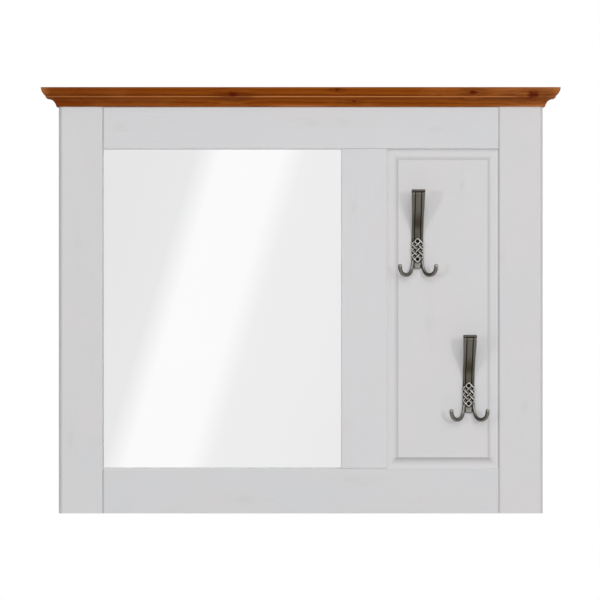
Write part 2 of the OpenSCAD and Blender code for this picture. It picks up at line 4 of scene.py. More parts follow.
import bpy
import numpy as np
from bpy.props import FloatProperty, FloatVectorProperty, PointerProperty
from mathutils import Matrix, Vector


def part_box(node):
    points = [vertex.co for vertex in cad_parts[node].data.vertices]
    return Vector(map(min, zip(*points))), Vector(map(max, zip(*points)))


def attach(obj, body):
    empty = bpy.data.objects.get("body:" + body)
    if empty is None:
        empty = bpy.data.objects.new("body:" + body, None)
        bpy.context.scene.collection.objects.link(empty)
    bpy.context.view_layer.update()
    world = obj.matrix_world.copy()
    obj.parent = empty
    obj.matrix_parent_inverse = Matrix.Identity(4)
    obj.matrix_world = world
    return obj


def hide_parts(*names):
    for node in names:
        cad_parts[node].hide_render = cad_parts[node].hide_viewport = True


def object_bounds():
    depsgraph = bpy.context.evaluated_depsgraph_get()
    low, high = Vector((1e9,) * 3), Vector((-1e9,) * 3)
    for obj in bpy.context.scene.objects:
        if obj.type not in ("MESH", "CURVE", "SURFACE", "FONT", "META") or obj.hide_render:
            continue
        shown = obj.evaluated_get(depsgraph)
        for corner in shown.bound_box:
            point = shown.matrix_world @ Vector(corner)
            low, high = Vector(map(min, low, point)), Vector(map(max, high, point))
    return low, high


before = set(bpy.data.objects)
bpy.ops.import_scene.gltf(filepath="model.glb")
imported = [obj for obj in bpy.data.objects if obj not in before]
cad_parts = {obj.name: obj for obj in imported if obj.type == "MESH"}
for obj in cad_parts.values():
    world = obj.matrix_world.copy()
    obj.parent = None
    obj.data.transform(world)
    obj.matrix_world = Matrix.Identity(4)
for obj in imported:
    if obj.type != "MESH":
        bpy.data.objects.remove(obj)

bl_info = {
    "name": "Hall Mirror with Coat Hooks",
    "version": (1, 0, 0),
    "blender": (4, 5, 0),
    "location": "3D View > Sidebar > Hall Mirror",
    "description": "Paints the frame, oils the crown, silvers the mirror and casts the coat hooks",
    "category": "Object",
}

CAD_BOX = [list(corner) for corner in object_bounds()]
MM = 0.001
BLACK, WHITE = (0, 0, 0), (1, 1, 1)


def srgb(red, green, blue):
    """A screen colour, 0 to 255, as the linear colour that shaders and properties take."""
    shares = [c / 255 for c in (red, green, blue)]
    return tuple(s / 12.92 if s <= 0.04045 else ((s + 0.055) / 1.055) ** 2.4 for s in shares)


def toned(colour, tone):
    """A colour with each of its parts multiplied."""
    return tuple(c * k for c, k in zip(colour, tone))


def settings(name):
    """One group of the scene's settings."""
    return getattr(bpy.context.scene.hall_mirror, name)


# ---- Places that the frame gives ----

PANEL_LOW, PANEL_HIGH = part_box("fielded_panel")
GLASS_LOW, GLASS_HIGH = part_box("mirror_glass")
STILE_LOW, STILE_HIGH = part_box("left_stile")
HOOK_BOXES = {name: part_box(name) for name in ("upper_hook", "lower_hook")}
LEFT_JOINT, RIGHT_JOINT = STILE_HIGH.x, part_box("right_stile")[0].x
MIDDLE_LEFT, MIDDLE_RIGHT = (corner.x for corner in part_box("middle_stile"))
OPENING_TOP, OPENING_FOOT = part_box("top_rail")[0].z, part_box("bottom_rail")[1].z
FIELD_Y = PANEL_LOW.y                         # the face of the panel's field
MIDDLE = (Vector(CAD_BOX[0]) + Vector(CAD_BOX[1])) / 2
FIELD_INSET = 29.2 * MM                       # from the panel's edge, in its groove, to its raised field
# The painted shade in that hollow spreads this far from the field, and further below it.
HOLLOW_WIDTH = 9.0                            # the hollow round that field, in millimetres
HOLLOW_FOOT_WIDTH = 12.5                      # the same below the field
NOSE_MIDDLE = 78.5                            # the height of the middle of the crown's nose, in millimetres


# ---- Nodes ----

def add_node(tree, kind, inputs=None, **options):
    """Adds a shader node. Each of inputs, by name or number, is a number, a colour, a socket or a Value."""
    node = tree.nodes.new(kind)
    for name, option in options.items():
        setattr(node, name, option)
    for key, value in (inputs or {}).items():
        socket = node.inputs[key]
        value = value.socket if isinstance(value, Value) else value
        if isinstance(value, bpy.types.NodeSocket):
            tree.links.new(value, socket)
        elif socket.type == "RGBA":
            socket.default_value = (*value[:3], 1)
        else:
            socket.default_value = value
    return node


class Value:
    """A node's output. Signs between values, or a value and a number, add nodes that work them out."""

    def __init__(self, socket):
        self.socket, self.tree = socket, socket.id_data

    def math(self, operation, *inputs):
        """One step of arithmetic with the inputs given, or with this value alone."""
        inputs = dict(enumerate(inputs or (self,)))
        return Value(add_node(self.tree, "ShaderNodeMath", inputs, operation=operation).outputs[0])

    def __abs__(self):
        return self.math("ABSOLUTE")

    def ramp(self, low, high, to_low=0.0, to_high=1.0, smooth=False):
        """Moves the value from one range to another, and holds it within the new one."""
        inputs = {"Value": self, "From Min": low, "From Max": high, "To Min": to_low, "To Max": to_high}
        kind = "SMOOTHSTEP" if smooth else "LINEAR"
        node = add_node(self.tree, "ShaderNodeMapRange", inputs, interpolation_type=kind, clamp=True)
        return Value(node.outputs["Result"])

    def fade(self, low, high, smooth=False):
        """1 up to the low end of a range, and 0 from its high end on."""
        return self.ramp(low, high, 1.0, 0.0, smooth)

    def band(self, middle, even, end):
        """1 up to a distance from the middle, and 0 from a greater one on."""
        return abs(self - middle).fade(even, end)

    def vector(self, operation, *others, out=0, **inputs):
        """One step of arithmetic between this vector and others."""
        inputs = {**dict(enumerate((self, *others))), **inputs}
        return Value(add_node(self.tree, "ShaderNodeVectorMath", inputs, operation=operation).outputs[out])

    def stretched(self, scale, offset=(0, 0, 0)):
        """The vector with each of its three parts scaled on its own."""
        inputs = {"Vector": self, "Scale": scale, "Location": offset}
        return Value(add_node(self.tree, "ShaderNodeMapping", inputs).outputs[0])

    def noise(self, scale=1.0, detail=2.0, roughness=0.5):
        """Soft noise from 0 to 1 at the vector."""
        inputs = {"Vector": self, "Scale": scale, "Detail": detail, "Roughness": roughness}
        return Value(add_node(self.tree, "ShaderNodeTexNoise", inputs).outputs[0])

    def parts(self):
        """The three parts of the vector."""
        return [Value(part) for part in add_node(self.tree, "ShaderNodeSeparateXYZ", {0: self}).outputs]

    def in_mm(self):
        """The three parts of a place, in millimetres."""
        return self.vector("SCALE", Scale=1 / MM).parts()


STEPS = {"add": "ADD", "sub": "SUBTRACT", "mul": "MULTIPLY", "truediv": "DIVIDE", "pow": "POWER"}
for sign, step in STEPS.items():
    setattr(Value, f"__{sign}__", lambda value, other, step=step: value.math(step, value, other))
    setattr(Value, f"__r{sign}__", lambda value, other, step=step: value.math(step, other, value))


def combined(x, y, z):
    """A vector of three values."""
    return Value(add_node(x.tree, "ShaderNodeCombineXYZ", {0: x, 1: y, 2: z}).outputs[0])


def largest(first, *others):
    """The largest of some values and numbers."""
    for other in others:
        own = first if isinstance(first, Value) else other
        first = own.math("MAXIMUM", first, other)
    return first


def mix(share, first, second):
    """A colour between two."""
    tree = next(value.tree for value in (share, first, second) if isinstance(value, Value))
    node = add_node(tree, "ShaderNodeMix", {0: share, 6: first, 7: second}, data_type="RGBA")
    return Value(node.outputs[2])


# ---- Effects, each a node group ----

EFFECTS = {}


def node_group(name, outputs, **inputs):
    """Makes the function below it the maker of a node group. Underscores stand for spaces.

    The function takes the group's inputs in their order, and returns its outputs in theirs.
    """
    def keep(work):
        def make():
            group = bpy.data.node_groups.new(name, "ShaderNodeTree")
            for label, default in inputs.items():
                kind = "NodeSocketVector" if isinstance(default, tuple) else "NodeSocketFloat"
                label = label.replace("_", " ")
                group.interface.new_socket(label, in_out="INPUT", socket_type=kind).default_value = default
            for label in outputs:
                group.interface.new_socket(label, in_out="OUTPUT", socket_type="NodeSocketFloat")
            given = group.nodes.new("NodeGroupInput").outputs
            results = work(*[Value(given[label.replace("_", " ")]) for label in inputs])
            add_node(group, "NodeGroupOutput", dict(zip(outputs, results)))
            return group

        EFFECTS[name] = make
        return work

    return keep


def effect(name, **inputs):
    """Places one of the node groups, which is made on its first use. Underscores stand for spaces."""
    group = bpy.data.node_groups.get(name) or EFFECTS[name]()
    sockets = {key.replace("_", " "): value for key, value in inputs.items()}
    node = add_node(inputs["Vector"].tree, "ShaderNodeGroup", sockets, node_tree=group)
    return {output.name: Value(output) for output in node.outputs}


@node_group("Timber grain", ("Rings", "Fibres", "Height"),
            Vector=(0, 0, 0), Ring_Spacing=4 * MM, Waver=12 * MM, Swirl=0.0)
def timber_grain(vector, spacing, waver, swirl):
    """Growth rings and fibres of a board whose grain runs along X."""
    _, depth, height = vector.parts()
    slow = vector.stretched((1.1, 5, 5)).noise(detail=3)
    across = height + depth * 0.35 + ((slow - 0.5) * waver + swirl)
    turned = (across / spacing).math("FRACT")
    rings = largest(turned ** 2.5, turned.fade(0.0, 0.12))
    fibres = vector.stretched((14, 700, 700)).noise(detail=3, roughness=0.6)
    return rings, fibres, rings * 0.5 + fibres


@node_group("Timber knot", ("Core", "Halo", "Swirl"), Vector=(0, 0, 0), Centre=(0, 0, 0), Radius=6 * MM)
def timber_knot(vector, centre, radius):
    """One knot in a board whose grain runs along X, and how it pushes the rings aside."""
    offset = vector.vector("SUBTRACT", centre)
    reach = offset.stretched((0.5, 0, 1)).vector("LENGTH", out=1) / radius
    reach = reach + (vector.noise(140, 2) - 0.5) * 0.9
    core = reach.fade(0.3, 1.1, smooth=True)
    long = offset.stretched((0.16, 0, 0.9)).vector("LENGTH", out=1) / radius
    streaks = vector.stretched((30, 620, 620)).noise(detail=2)
    halo = long.fade(0.6, 1.9, smooth=True) * streaks.ramp(0.4, 0.6, 0.1, 1.0)
    near = (reach ** 2 * -0.16).math("EXPONENT")
    return core, halo, offset.parts()[2] * (near * -0.82)


@node_group("Brush marks", ("Strokes", "Clouds", "Hue"), Vector=(0, 0, 0), Stroke_Width=1.2 * MM)
def brush_marks(vector, width):
    """Strokes of a brush along X, and the cloudy tone of a thin coat of paint."""
    strokes = vector.vector("DIVIDE", combined(width * 40, width, width)).noise(1, 3, 0.6)
    clouds = vector.stretched((7, 16, 16)).noise(1, 4, 0.62)
    return strokes, clouds, vector.stretched((9, 13, 13), (3, 1, 7)).noise(1, 2)


@node_group("Hook light and shade", ("Bright", "Dark", "Specks"), Vector=(0, 0, 0))
def hook_light_and_shade(vector):
    """Painted highlights on a cast hook, painted shade and darker bands on it, and painted highlights on the
    lattice's floor.

    Lengths are in millimetres from the middle of the boss.
    """
    hook = settings("hooks")
    step, rise, web = hook.lattice_step / MM, hook.arm_rise / MM, hook.web_thickness / MM
    x, y, z = vector.in_mm()
    aside = abs(x)
    # Painted highlights: a line down the front of each prong's root, brighter on the left prong, and a spot
    # at each prong's tip.
    ridge = aside.band(z.ramp(-36, -20, 11.9, 8.8), 0.4, 1.3) * z.band(-26, 6, 9) * x.ramp(-1, 1, 1.0, 0.7)
    spot = (hook.prong_spread, -hook.prong_reach - hook.prong_tip_radius,
            hook.prong_rise - hook.prong_drop + 0.6 * MM)
    from_spot = combined(aside, y, z).vector("DISTANCE", [part / MM for part in spot], out=1)
    tip = from_spot.fade(0.9, 2)
    # Painted shade in the groove under the lip and on the web beside the tongue; the lip, the flutes and a
    # band across the tongue's lower end darker.
    lip = largest(z.band(rise - 4.7, 0.6, 1.4), z.band(rise, 3.4, 3.8) * 0.38)
    flute = aside.band(hook.band_width / 2 / MM, 0.4, 0.9) * z.ramp(21, 23, 0.0, 0.6)
    foot = z.band(1.2 - hook.tail_drop / MM, 0.4, 1.3) * aside.band(0, 5, 6) * 0.4
    gap = z.band(-22, 10.5, 12) * y.ramp(-web - 1.5, -web - 0.6) * aside.band(7, 1.8, 3)
    # Painted highlights on the lattice's floor, a spot low in each opening.
    cell = [((x + 0.7 + (z + 0.8) * sign) / (step * 2)).math("FRACT") - 0.5 for sign in (1, -1)]
    far = (cell[0] * cell[0] + cell[1] * cell[1]).math("SQRT")
    inside = z.band(0, 3 * step, 3.4 * step) * aside.band(0, 1.2 * step, 1.5 * step)
    return largest(ridge, tip), largest(lip, flute, foot, gap), inside * far.fade(0.08, 0.17)


@node_group("Fine speckle", ("Spots", "Blotches"), Vector=(0, 0, 0), Spot_Size=0.6 * MM)
def fine_speckle(vector, size):
    """Small soft spots, such as the skin of a casting, of plated steel or of pressed fibre."""
    grid = vector.vector("SCALE", Scale=1.0 / size)
    return grid.noise(1, 3, 0.6), grid.noise(0.12, 2, 0.5)


# ---- Materials ----

class Surface:
    """A material with its own Principled BSDF."""

    def __init__(self, name, **sockets):
        self.material = bpy.data.materials.new(name)
        self.material.use_nodes = True
        self.tree = self.material.node_tree
        self.tree.nodes.clear()
        sockets = {key.replace("_", " "): value for key, value in sockets.items()}
        self.shader = add_node(self.tree, "ShaderNodeBsdfPrincipled", sockets)
        self.output = add_node(self.tree, "ShaderNodeOutputMaterial", {"Surface": self.shader.outputs[0]})
        self.place = Value(add_node(self.tree, "ShaderNodeTexCoord").outputs["Object"])

    def finish(self, colour, roughness=None, height=None, depth=0.0, strength=1.0):
        """Feeds the colour, the roughness and a height, as relief of a given depth, into the shader."""
        feeds = {"Base Color": colour, "Roughness": roughness}
        if height:
            inputs = {"Height": height, "Strength": strength, "Distance": depth}
            feeds["Normal"] = Value(add_node(self.tree, "ShaderNodeBump", inputs).outputs[0])
        for name, value in feeds.items():
            if value:
                self.tree.links.new(value.socket, self.shader.inputs[name])
        return self.material


def upright_grain(place):
    """The place turned so that the grain of an upright board runs along X, as a crosswise one's does."""
    x, y, z = place.parts()
    return combined(z, y, x)


def knot_marks(vector, knots, upright):
    """All the knots of one board, each given as x, z and radius in millimetres."""
    core, halo, swirl = 0.0, 0.0, 0.0
    for x, z, radius in knots:
        centre = (z * MM, 0, x * MM) if upright else (x * MM, 0, z * MM)
        knot = effect("Timber knot", Vector=vector, Centre=centre, Radius=radius * MM)
        core, halo = largest(core, knot["Core"]), largest(halo, knot["Halo"])
        swirl = swirl + knot["Swirl"]
    return core, halo, swirl


def hollow_shade(place):
    """Painted shade in the hollow round the panel's field, widest and darkest below it."""
    x, _, z = place.in_mm()
    out = largest(*[
        abs(part - (low + high) / 2 / MM) - ((high - low) / 2 - FIELD_INSET) / MM
        for part, low, high in ((x, PANEL_LOW.x, PANEL_HIGH.x), (z, PANEL_LOW.z, PANEL_HIGH.z))
    ])
    field_foot = (PANEL_LOW.z + FIELD_INSET) / MM
    below = z.fade(field_foot - 2, field_foot)
    fade = (out / below.ramp(0.0, 1.0, HOLLOW_WIDTH, HOLLOW_FOOT_WIDTH)).fade(0.0, 1.0)
    return out.ramp(-0.3, 0.3) * fade * below.ramp(0.0, 1.0, 0.09, 0.36)


def joint_lines_and_painted_light(place, colour, bands):
    """Lays narrow bands along a board's joints and edges: the darker ones are dark joint lines and painted
    shade, the paler ones painted light.

    Each band is an axis, its middle, how far from there it is even and where it ends, in millimetres,
    its strength, which is negative where it is paler, and, where it has them, its two ends along X.
    """
    parts = dict(zip("XYZ", place.in_mm()))
    for axis, middle, even, end, strength, *ends in bands:
        share = parts[axis].band(middle / MM, even, end) * abs(strength)
        if ends:
            left, right = (place / MM for place in ends)
            within = abs(parts["X"] - (left + right) / 2)
            share = share * within.math("LESS_THAN", within, (right - left) / 2)
        colour = mix(share, colour, BLACK if strength > 0 else WHITE)
    return colour


def painted_board(name, upright, knots, tone, bands, hollow=False):
    """White paint, thin enough for the pine's rings and knots to show through faintly, with dark joint lines,
    and with painted shade and painted light in bands and in the hollow round the panel's field.
    """
    paint, surface = settings("paint"), Surface(name, Roughness=0.5)
    vector = upright_grain(surface.place) if upright else surface.place
    core, halo, swirl = knot_marks(vector, knots, upright)
    grain = effect("Timber grain", Vector=vector, Ring_Spacing=7 * MM, Waver=30 * MM, Swirl=swirl)
    brush = effect("Brush marks", Vector=vector)
    white = toned(paint.colour, tone)
    warm, cool = toned(white, (1.0, 0.978, 0.976)), toned(white, (0.965, 0.978, 0.99))
    colour = mix(brush["Hue"].ramp(0.35, 0.65), warm, cool)
    colour = mix(brush["Clouds"].ramp(0.3, 0.7, 0.0, 0.8), colour, white)
    for share in (grain["Rings"], core * 2.2 + halo):
        colour = mix(share * paint.show_through, colour, paint.shade)
    colour = mix(brush["Strokes"].ramp(0.3, 0.7, 0.0, 0.03), colour, paint.shade)
    # Painted shade in the hollow round the panel's field.
    if hollow:
        colour = mix(hollow_shade(surface.place), colour, BLACK)
    # Dark joint lines, and bands of painted shade and painted light.
    colour = joint_lines_and_painted_light(surface.place, colour, bands)
    height = brush["Strokes"] + grain["Height"] * 0.5
    return surface.finish(colour, brush["Strokes"].ramp(0.3, 0.7, 0.46, 0.6), height, paint.relief, 0.6)


def oiled_timber(name, knots=(), along_depth=False):
    """Oiled pine whose grain runs crosswise, or from front to back in a return. Painted light lies on it:
    darker towards the left end, lighter at the right end and over the right half, with painted highlights
    along the nose and the foot and at the upper left corner.
    """
    oil, surface = settings("crown"), Surface(name, Roughness=0.4, Specular_IOR_Level=0.05)
    vector = surface.place
    if along_depth:
        x, y, z = vector.parts()
        vector = combined(y, x, z)
    core, halo, swirl = knot_marks(vector, knots, False)
    grain = effect("Timber grain", Vector=vector, Ring_Spacing=6.5 * MM, Waver=26 * MM, Swirl=swirl)
    brush = effect("Brush marks", Vector=vector, Stroke_Width=0.9 * MM)
    colour = mix(grain["Rings"] * brush["Clouds"].ramp(0.3, 0.7, 0.6, 1.0), oil.early_wood, oil.late_wood)
    colour = mix(grain["Fibres"].ramp(0.35, 0.7, 0.0, 0.45), colour, oil.late_wood)
    colour = mix(brush["Clouds"].ramp(0.48, 0.7, 0.0, 0.6), colour, oil.glow)
    x, _, z = surface.place.in_mm()
    # Painted light: lighter at the right end and over the right half, with painted highlights along the foot,
    # along the nose and at the upper left corner.
    upper = z.ramp(NOSE_MIDDLE, NOSE_MIDDLE + 5)
    right_end = x.ramp(436, 462, 0.0, 0.55, smooth=True)
    left_corner = x.ramp(-463, -448, 0.5, 0.0) * upper
    right_half = x.ramp(250, 420, 0.0, 0.35) * largest(upper, 0.45)
    foot = z.ramp(64, 66, 0.5, 0.0) * largest(x.ramp(320, 400), abs(x + 2).ramp(24, 62, 0.7, 0.0))
    nose = z.band(NOSE_MIDDLE, 0.4, 1.2) * grain["Fibres"].ramp(0.3, 0.6, 0.7, 1.0)
    nose = nose * x.ramp(-400, -60, 0.45, 0.9)
    # Painted shade: darker towards the left end.
    colour = mix(x.ramp(-440, -120, 0.55, 0.0), colour, oil.late_wood)
    colour = mix(largest(right_end, left_corner, right_half, foot, nose), colour, oil.painted_light)
    colour = mix(halo * 0.8, colour, oil.late_wood)
    colour = mix(core * 0.88, colour, oil.knot)
    rough = grain["Fibres"].ramp(0.3, 0.7, 0.34, 0.5)
    return surface.finish(colour, rough, grain["Height"], 0.12 * MM, 0.5)


def bare_beech(name):
    """Pale turned beech with short flecks."""
    back, surface = settings("back"), Surface(name, Roughness=0.6)
    grain = effect("Timber grain", Vector=upright_grain(surface.place), Ring_Spacing=2 * MM, Waver=4 * MM)
    colour = mix(grain["Rings"] * 0.35, back.beech, back.beech_fleck)
    colour = mix(grain["Fibres"].ramp(0.4, 0.7, 0.0, 0.5), colour, back.beech_fleck)
    return surface.finish(colour, None, grain["Height"], 0.08 * MM, 0.5)


def pressed_board(name):
    """Hardboard: brown pressed fibres under the fine net of its mould."""
    back, surface = settings("back"), Surface(name, Roughness=0.72)
    speckle = effect("Fine speckle", Vector=surface.place, Spot_Size=1.1 * MM)
    x, _, z = surface.place.in_mm()
    net = largest(*[part.math("PINGPONG", part / 1.6, 0.5) for part in (x, z)])
    colour = mix(speckle["Spots"].ramp(0.3, 0.7), back.board_dark, back.board)
    colour = mix(speckle["Blotches"].ramp(0.35, 0.7, 0.0, 0.4), colour, back.board_dark)
    rough = speckle["Spots"].ramp(0.3, 0.7, 0.62, 0.82)
    return surface.finish(colour, rough, net + speckle["Spots"], 0.25 * MM, 0.7)


def silvering(name):
    """The silvered pane: a true reflection with the least cloud in its tone."""
    silver, surface = settings("mirror").silver, Surface(name, Metallic=1.0, Roughness=0.0)
    film = surface.place.stretched((3, 3, 3)).noise(1, 2)
    return surface.finish(mix(film, silver, toned(silver, (0.985, 0.985, 0.985))))


def plated_steel(name, bright, dull, roughness):
    """A plated or blackened screw or plate, with a fine grain and dull blotches."""
    surface = Surface(name, Metallic=0.95, Roughness=roughness)
    speckle = effect("Fine speckle", Vector=surface.place, Spot_Size=0.5 * MM)
    colour = mix(speckle["Blotches"].ramp(0.3, 0.7), bright, dull)
    colour = mix(speckle["Spots"].ramp(0.45, 0.75, 0.0, 0.5), colour, dull)
    rough = speckle["Spots"].ramp(0.3, 0.7, roughness * 0.8, roughness * 1.3)
    return surface.finish(colour, rough, speckle["Spots"], 0.03 * MM, 0.5)


def antique_pewter(name):
    """Dark plating, browner on the middle of the arm and on the prongs, bright with wear where it stands
    proud and dark where it lies deep, with painted highlights and painted shade laid over it.

    Lengths are in millimetres from the middle of the boss.
    """
    hook, surface = settings("hooks"), Surface(name, Metallic=0.9, Roughness=0.36)
    wear, wash = (Value(add_node(surface.tree, "ShaderNodeAttribute", attribute_name=kind).outputs["Fac"])
                  for kind in ("wear", "wash"))
    speckle = effect("Fine speckle", Vector=surface.place, Spot_Size=0.5 * MM)
    marks = effect("Hook light and shade", Vector=surface.place)
    x, _, z = surface.place.in_mm()
    aside = abs(x)
    hollow = z.ramp(33, 46, smooth=True) * z.fade(47, 74, smooth=True)
    hollow = hollow * aside.ramp(5.4, 6.6, 0.7, 0.3)
    prong = largest(aside.ramp(12, 18), z.fade(-40, -34)) * z.fade(-12, -10)
    colour = mix(speckle["Blotches"].ramp(0.3, 0.7), hook.pewter, hook.pewter_cool)
    colour = mix(largest(hollow, prong * 0.45), colour, hook.brown)
    below = z.fade(-22, -20) * (aside + z).ramp(-14, -12)
    below = largest(below, z.fade(-24, -22))
    handled = z.ramp(23, 27, 1.0, 0.12, smooth=True) * below.ramp(0.0, 1.0, 1.0, 0.3)
    tongue = below * aside.ramp(5.2, 6.2, 0.42, 0.1)
    # Wear, the lighter tongue and the painted highlights all take the bright colour.
    rubbed_and_highlight = largest(wear.ramp(0.35, 0.95) * handled, tongue, marks["Bright"], marks["Specks"])
    colour = mix(rubbed_and_highlight * speckle["Spots"].ramp(0.3, 0.6, 0.7, 1.0), colour, hook.rubbed_and_highlight)
    # Painted shade: darker where the surface turns to the sides, up or down, and on the boss where the
    # strands face down and to the left.
    normal = Value(add_node(surface.tree, "ShaderNodeNewGeometry").outputs["Normal"])
    normal_x, normal_y, normal_z = normal.parts()
    flank_shade = largest(abs(normal_x).ramp(0.35, 0.85), abs(normal_z).ramp(0.74, 0.97))
    boss = z.band(0, 21.5, 23) * abs(normal_y).fade(0.66, 0.94)
    lower_left_shade = (normal_x + normal_z).ramp(-0.5, 0.5, 0.8, 0.15)
    # Patina in the hollows together with the painted shade and darker bands, lifted where the lattice's floor
    # has its painted highlights.
    patina_and_shade = largest(wash, marks["Dark"]) * (1.0 - marks["Specks"] * 0.9)
    for share in (flank_shade * 0.55, boss * lower_left_shade, patina_and_shade):
        colour = mix(share, colour, hook.wash)
    rough = speckle["Spots"].ramp(0.3, 0.7, 0.3, 0.44) + wash * 0.25
    return surface.finish(colour, rough, speckle["Spots"], 0.04 * MM, 0.5)


def dress(node, material):
    """Gives a CAD node its finish."""
    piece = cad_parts[node]
    if not piece.data.materials:
        piece.data.materials.append(material)
    for slot in piece.material_slots:
        slot.material = material


# ---- The casting of a hook ----
# Points are (u, v, w) in metres: u to the right, v out from the panel, w up the wall.

FUSED_VOXEL, QUICK_VOXEL = 0.36 * MM, 0.7 * MM
KEPT_FACES = 0.28                             # share of the fused faces that stay when they are thinned out
STRAND_SPACING = 0.35 * MM                    # between the points of a strand
LATTICE_TURN = 0.14                           # how soon a strand turns back at the boss's edge, in steps


def round_steps(count):
    """The cosine and sine of equal steps round a circle."""
    return [(math.cos(a), math.sin(a)) for a in np.linspace(0, 2 * math.pi, count, endpoint=False)]


def ease(share):
    """A smooth step from 0 to 1."""
    share = min(max(share, 0.0), 1.0)
    return share * share * (3 - 2 * share)


class Shells:
    """Closed shells of points and faces that are fused into one casting."""

    def __init__(self):
        self.points = []
        self.faces = []

    def skin(self, rings):
        """Adds a shell through rings of points, closed at both ends."""
        start, size = len(self.points), len(rings[0])
        for ring in rings:
            self.points.extend(tuple(p) for p in ring)
        self.faces.append([start + i for i in reversed(range(size))])
        for k in range(len(rings) - 1):
            low, high = start + k * size, start + (k + 1) * size
            for i in range(size):
                j = (i + 1) % size
                self.faces.append([low + i, low + j, high + j, high + i])
        self.faces.append([start + (len(rings) - 1) * size + i for i in range(size)])

    def sweep(self, path, radii, sides=20):
        """Adds a round bar along a path, with a radius at each of its points."""
        path = np.array(path, float)
        ways = np.gradient(path, axis=0)
        ways /= np.linalg.norm(ways, axis=1)[:, None]
        side = np.cross(ways[0], (0.31, 0.17, 0.93))
        rings = []
        for point, way, radius in zip(path, ways, radii):
            side = side - way * side.dot(way)
            side /= np.linalg.norm(side)
            up = np.cross(way, side)
            rings.append([point + radius * (side * c + up * s) for c, s in round_steps(sides)])
        self.skin(rings)


def strap_section(width, hook, groove):
    """The strap's outline as (u, height) points: three soft bands with two rounded flutes."""
    edge, half_band = width / 2, hook.band_width / 2
    round_r, back_r = 1.3 * MM, 0.7 * MM
    front = []
    for u in np.linspace(-edge, edge, 81):
        at = abs(u)
        height = hook.strap_thickness - groove
        if at < half_band:
            height -= 0.35 * MM * (at / half_band) ** 2
        else:
            middle, half = (half_band + edge) / 2, (edge - half_band) / 2
            height -= 0.35 * MM * ((at - middle) / half) ** 2
        height -= hook.flute_depth * math.exp(-((at - half_band) / (0.36 * hook.flute_width)) ** 2)
        if at > edge - round_r:
            over = min(at - edge + round_r, round_r)
            height -= round_r - math.sqrt(round_r ** 2 - over ** 2)
        front.append((u, height))
    back = [(edge, back_r), (edge - back_r * 0.3, back_r * 0.3), (edge - back_r, 0.0)]
    return front + back + [(-u, height) for u, height in reversed(back)]


def strap_rings(hook):
    """The arm: flat on the panel behind the lattice, then an S curve out to the lip."""
    foot, top = hook.lattice_step * 4, hook.arm_rise - hook.lip_radius
    rise = hook.arm_reach - hook.strap_thickness

    def stand_off(w):
        return rise * ease((w - foot) / (top - foot))

    rings = []
    for w in np.linspace(-foot / 2, top, 120):
        slope = (stand_off(w + 1e-5) - stand_off(w - 1e-5)) / 2e-5
        long = math.hypot(1, slope)
        flare = ease((w - foot) / (top - foot) * 1.6 - 0.6)
        width = hook.strap_width + (hook.lip_width - hook.strap_width) * 0.8 * flare
        groove = 0.9 * MM * math.exp(-((w - hook.arm_rise + 4.9 * MM) / (0.7 * MM)) ** 2)
        rings.append([(u, stand_off(w) + h / long, w - slope / long * h)
                      for u, h in strap_section(width, hook, groove)])
    return rings


def lip_rings(hook):
    """The rounded bar across the arm's tip."""
    radius, half, edge = hook.lip_radius, hook.lip_width / 2, hook.lip_radius * 0.9
    middle = (hook.arm_reach - hook.strap_thickness + radius, hook.arm_rise - radius)
    rings = []
    for u in np.linspace(-half, half, 60):
        over = max(abs(u) - half + edge, 0.0)
        r = radius - edge + math.sqrt(max(edge ** 2 - over ** 2, 0.0))
        rings.append([(u, middle[0] + r * c, middle[1] + r * s) for c, s in round_steps(28)])
    return rings


def tail_rings(hook):
    """The middle band's short tongue below the lattice, with softened edges."""
    half, thick, soft = hook.band_width / 2, hook.strap_thickness, 1.0 * MM
    rings = []
    for w in np.linspace(-hook.tail_drop, 0, 50):
        close = max(soft - (w + hook.tail_drop), 0.0)
        inset = soft - math.sqrt(max(soft ** 2 - close ** 2, 0.0))
        edge, top = half - inset * 0.8, thick - inset * 0.8
        corner = [(edge - soft + soft * math.cos(a), top - soft + soft * math.sin(a))
                  for a in np.linspace(0, math.pi / 2, 7)]
        rings.append([(u, v, w) for u, v in [(edge, 0.0)] + corner]
                     + [(-u, v, w) for u, v in reversed([(edge, 0.0)] + corner)])
    return rings


def web_rings(hook):
    """The thin web between the tongue and the prongs."""
    half, thick = hook.strap_width / 2 - hook.prong_root_radius * 1.2, hook.web_thickness
    corners = ((-half, 0.0), (half, 0.0), (half, thick), (-half, thick))
    return [[(u, v, w) for u, v in corners] for w in (2 * MM - hook.tail_drop, -2 * hook.lattice_step)]


def bezier(points, t):
    """A point t of the way along a curve of four control points."""
    a, b, c, d = (np.array(p, float) for p in points)
    return (1 - t) ** 3 * a + 3 * (1 - t) ** 2 * t * b + 3 * (1 - t) * t * t * c + t ** 3 * d


